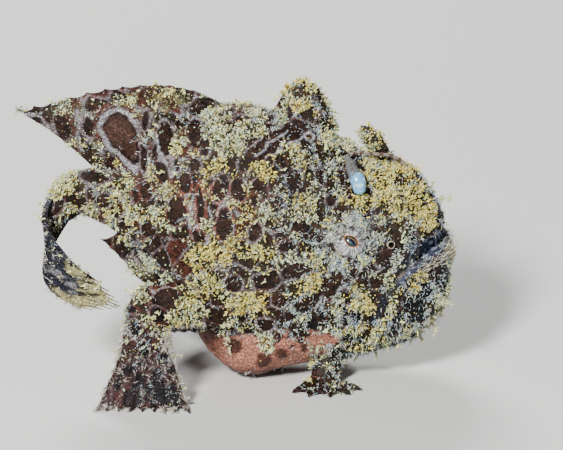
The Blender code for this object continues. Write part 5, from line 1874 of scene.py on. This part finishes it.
def flap_places(host, painted, random):
    """Roots of the flaps: spread over the coat, and then the named ones on the right side."""
    density = 0.15 + painted["cloud"] + 0.3 * painted["bristle"]
    density = density * (1 - painted["bare"]) * clear_of_openings(host.points) + 1e-6
    places, normals, near = host.roots(FLAP_COUNT, density, random)
    lengths = random.uniform(0.9, 2.0, len(places))
    picture = in_picture(host.points)
    hidden = np.where(host.points[:, 1] < 1.0, 0, 500)
    named = np.array(NAMED_FLAPS)
    chosen = [np.argmin(np.hypot(picture[:, 0] - x, picture[:, 1] - y) + hidden) for x, y, _ in named]
    places = np.vstack([places, host.points[chosen]])
    normals = np.vstack([normals, host.normals[chosen]])
    return places, normals, np.append(near, chosen), np.append(lengths, named[:, 2])


def grow_flaps(host, painted):
    """Leafy flaps, evenly spread where the coat is thick and set one by one where the photograph shows them.
    """
    random = np.random.default_rng(FLAP_SEED)
    places, normals, near, lengths = flap_places(host, painted, random)
    ways = lie(places, normals)
    uvs = host.on_map(places)
    shapes, tints, spots, grains, axes, owners = [], [], [], [], [], []
    for i, (place, length) in enumerate(zip(places, lengths)):
        points, faces = leaf(place, normals[i], ways[i], length, random)
        shapes.append((points, faces))
        yellow = painted["yellow"][near[i]] * random.uniform(0.2, 0.9)
        base = (WART_CREAM + (WART_YELLOW - WART_CREAM) * yellow) * random.uniform(0.4, 0.9)
        rise = np.clip(((points - place) @ normals[i]) / length, 0, 1)
        tints.append(mix(painted["colour"][near[i]], base, ramp(rise, -0.1, 0.35)))
        spots.append(uvs[i] + patch_corners(len(faces)))
        for _ in range(int(6 + 6 * length)):
            spot = points[random.integers(len(points))]
            grains.append(spot)
            axes.append(unit(spot - place + random.normal(0, 0.3, 3)))
            owners.append(i)
    points, faces = joined(shapes)
    flaps = build_mesh("flaps", above_floor(points, COAT_CLEAR), faces, np.vstack(tints), WART)
    set_bake_map(flaps, np.concatenate(spots))
    count = len(grains)
    size = random.uniform(0.09, 0.17, count)
    shade = random.uniform(0.45, 1.0, count)
    build_tufts(
        "flap_warts", GRAIN, np.array(grains), bases(np.array(axes), random),
        size[:, None] * random.uniform(0.8, 1.4, (count, 3)),
        wart_tints(painted["yellow"][near[owners]], random) * shade[:, None], (0.6, 1.1), uvs[owners], WART,
    )


# Everything together


def raise_clouds(points, faces, painted):
    """Swells the skin under the clouds of warts and roughens it there."""
    lumps = painted["cloud"] * (0.28 + 0.3 * MIDDLE(points + 33, 1.1, 2)) + 0.05 * FINE(points, 0.7, 1)
    calm = 1 - 0.8 * near_features(points)
    return above_floor(points + vertex_normals(points, faces) * (lumps * calm)[:, None])


def make_skin():
    """The skin with its nostrils. Returns its surface and markings for the coat."""
    points, faces = shape_skin()
    painted = paint(points, vertex_normals(points, faces))
    inside = mouth_inside(points)
    points = raise_clouds(points, faces, painted)
    paint_mouth(points, painted, inside)
    paint_eyes(points, painted)
    paint_gill_shade(points, painted["colour"])
    ring_points, ring_faces, ring_colour = nostrils()
    all_points, all_faces = joined([(points, triangles(faces)), (ring_points, ring_faces)])
    colour = np.vstack([painted["colour"], ring_colour])
    skin = build_mesh("skin", all_points, all_faces, colour, SKIN)
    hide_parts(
        "head", "lower_jaw", "torso", "tail_base", "third_dorsal_spine", "second_dorsal_spine",
        "right_pectoral_arm", "left_pectoral_arm",
    )
    return (points, faces), painted


def fin_sheets():
    """Each fin's name and sheet, and the solids that it stands for."""
    yield "dorsal_sheet", fin(dorsal_rays(), per_gap=10, steps=56, notch=0.035, ripple=0.15), ["dorsal_fin"]
    yield "anal_sheet", fin(anal_rays(), steps=36, notch=0.08, ripple=0.12), ["anal_fin"]
    caudal = fin(caudal_rays(), steps=110, ridge=(0.6, 0.42), notch=0.08, ripple=0.12)
    yield "caudal_sheet", caudal, ["caudal_fin_base", "caudal_fin_tips"]
    for word, place in ARMS.items():
        hand = fin(hand_rays(*place), steps=72, ridge=(1.0, 0.46), web=0.34, notch=0.2)
        yield f"{word}_hand", hand, [f"{word}_pectoral_fin"]
        yield f"{word}_pelvic", pelvic(place[0]), [f"{word}_pelvic_fin"]


def turned_out(points, faces):
    """The faces, turned over where they look inwards."""
    a, b, c = (points[faces[:, k]] - points.mean(axis=0) for k in range(3))
    return faces[:, ::-1] if np.einsum("ij,ij->", a, np.cross(b, c)) < 0 else faces


def rough_copy():
    """The skin and fins again with fewer faces, for the unwrap."""
    trunk = [body(60, 40, COAT_DEPTH)] + spines()
    for place in ARMS.values():
        trunk += arm(*place)
    fans = [dorsal_rays(), anal_rays(), caudal_rays()] + [hand_rays(*place) for place in ARMS.values()]
    pieces = [remeshed(trunk, ROUGH_VOXEL)] + [fin(rays, per_gap=2, steps=12) for rays in fans]
    pieces += [remeshed([pelvic_lobe(side, PELVIC_WHOLE)], ROUGH_LOBE_VOXEL) for side in (-1, 1)]
    return [(points, triangles(faces)) for points, faces in pieces]


def make_fish():
    surface, painted = make_skin()
    surfaces, coats = [surface], [painted]
    for name, (points, faces), nodes in fin_sheets():
        faces = turned_out(points, faces)
        found = paint(points, vertex_normals(points, faces))
        if name == "caudal_sheet":
            tint_tail(points, found)
        piece = build_mesh(name, points, faces, found["colour"], FIN)
        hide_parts(*nodes)
        surfaces.append((points, faces))
        coats.append(found)
    for word, (side, _, _) in ARMS.items():
        make_eye(word, side)
    make_lure()
    host = Host(surfaces, rough_copy())
    painted = {key: np.concatenate([coat[key] for coat in coats]) for key in painted}
    grow_coat(host, painted)
    grow_sprigs(host, painted)
    grow_flaps(host, painted)


def make_floor():
    made, tree, shader = new_material("pale_floor")
    low, high = ((*(np.array(FLOOR_COLOUR) * share), 1) for share in (0.97, 1))
    noise = add_node(tree, "TexNoise", "Fac", {"Scale": 40})
    shades = add_node(tree, "Mix", "Result", {"A": low, "B": high, "Factor": noise}, data_type="RGBA")
    set_inputs(tree, shader, {"Base Color": shades, "Roughness": 0.9})
    points = np.array([(-1, -1, 0), (1, -1, 0), (1, 1, 0), (-1, 1, 0)]) * FLOOR_HALF
    mesh = raw_mesh("floor", points, np.array([[0, 1, 2, 3]]))
    mesh.materials.append(made)
    floor = new_object("floor", mesh)
    floor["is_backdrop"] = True


def make_light(name, place, size, power):
    data = bpy.data.lights.new(name, "AREA")
    data.shape = "DISK"
    data.size = size
    data.energy = power
    lamp = new_object(name, data)
    lamp.location = place
    lamp.rotation_euler = (Vector(LIGHTS_AIM) - Vector(place)).to_track_quat("-Z", "Y").to_euler()


def make_camera():
    """The camera at the photograph's height over the horizon, far off, framed as the photograph is."""
    width = PICTURE_SIZE[0] / PER_MM * MM
    data = bpy.data.cameras.new("camera")
    data.sensor_width = 36.0
    data.angle = 2 * math.atan(width / 2 / CAMERA_AWAY)
    camera = new_object("camera", data)
    x = (PICTURE_MIDDLE[0] - PICTURE_ZERO[0]) / PER_MM
    rise = (PICTURE_ZERO[1] - PICTURE_MIDDLE[1]) / PER_MM
    z = (rise - math.sin(CAMERA_TILT) * PICTURE_NEAR) / math.cos(CAMERA_TILT)
    target = Vector(((x + SHIFT[0]) * MM, SHIFT[1] * MM, z * MM))
    away = Vector((0, -math.cos(CAMERA_TILT), math.sin(CAMERA_TILT)))
    camera.location = target + away * CAMERA_AWAY
    camera.rotation_euler = (math.radians(90) - CAMERA_TILT, 0, 0)
    bpy.context.scene.camera = camera


def make_studio():
    for name, (place, size, power) in LIGHTS.items():
        make_light(name, place, size, power)
    world = bpy.data.worlds.new("studio")
    world.use_nodes = True
    set_inputs(world.node_tree, world.node_tree.nodes["Background"], {"Color": SKY, "Strength": SKY_STRENGTH})
    bpy.context.scene.world = world


def write_sizes():
    boxes = {"cad": CAD_BOX, "visual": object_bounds()}
    plain = {key: [list(map(float, corner)) for corner in box] for key, box in boxes.items()}


make_camera()
make_fish()
make_floor()
make_studio()
write_sizes()
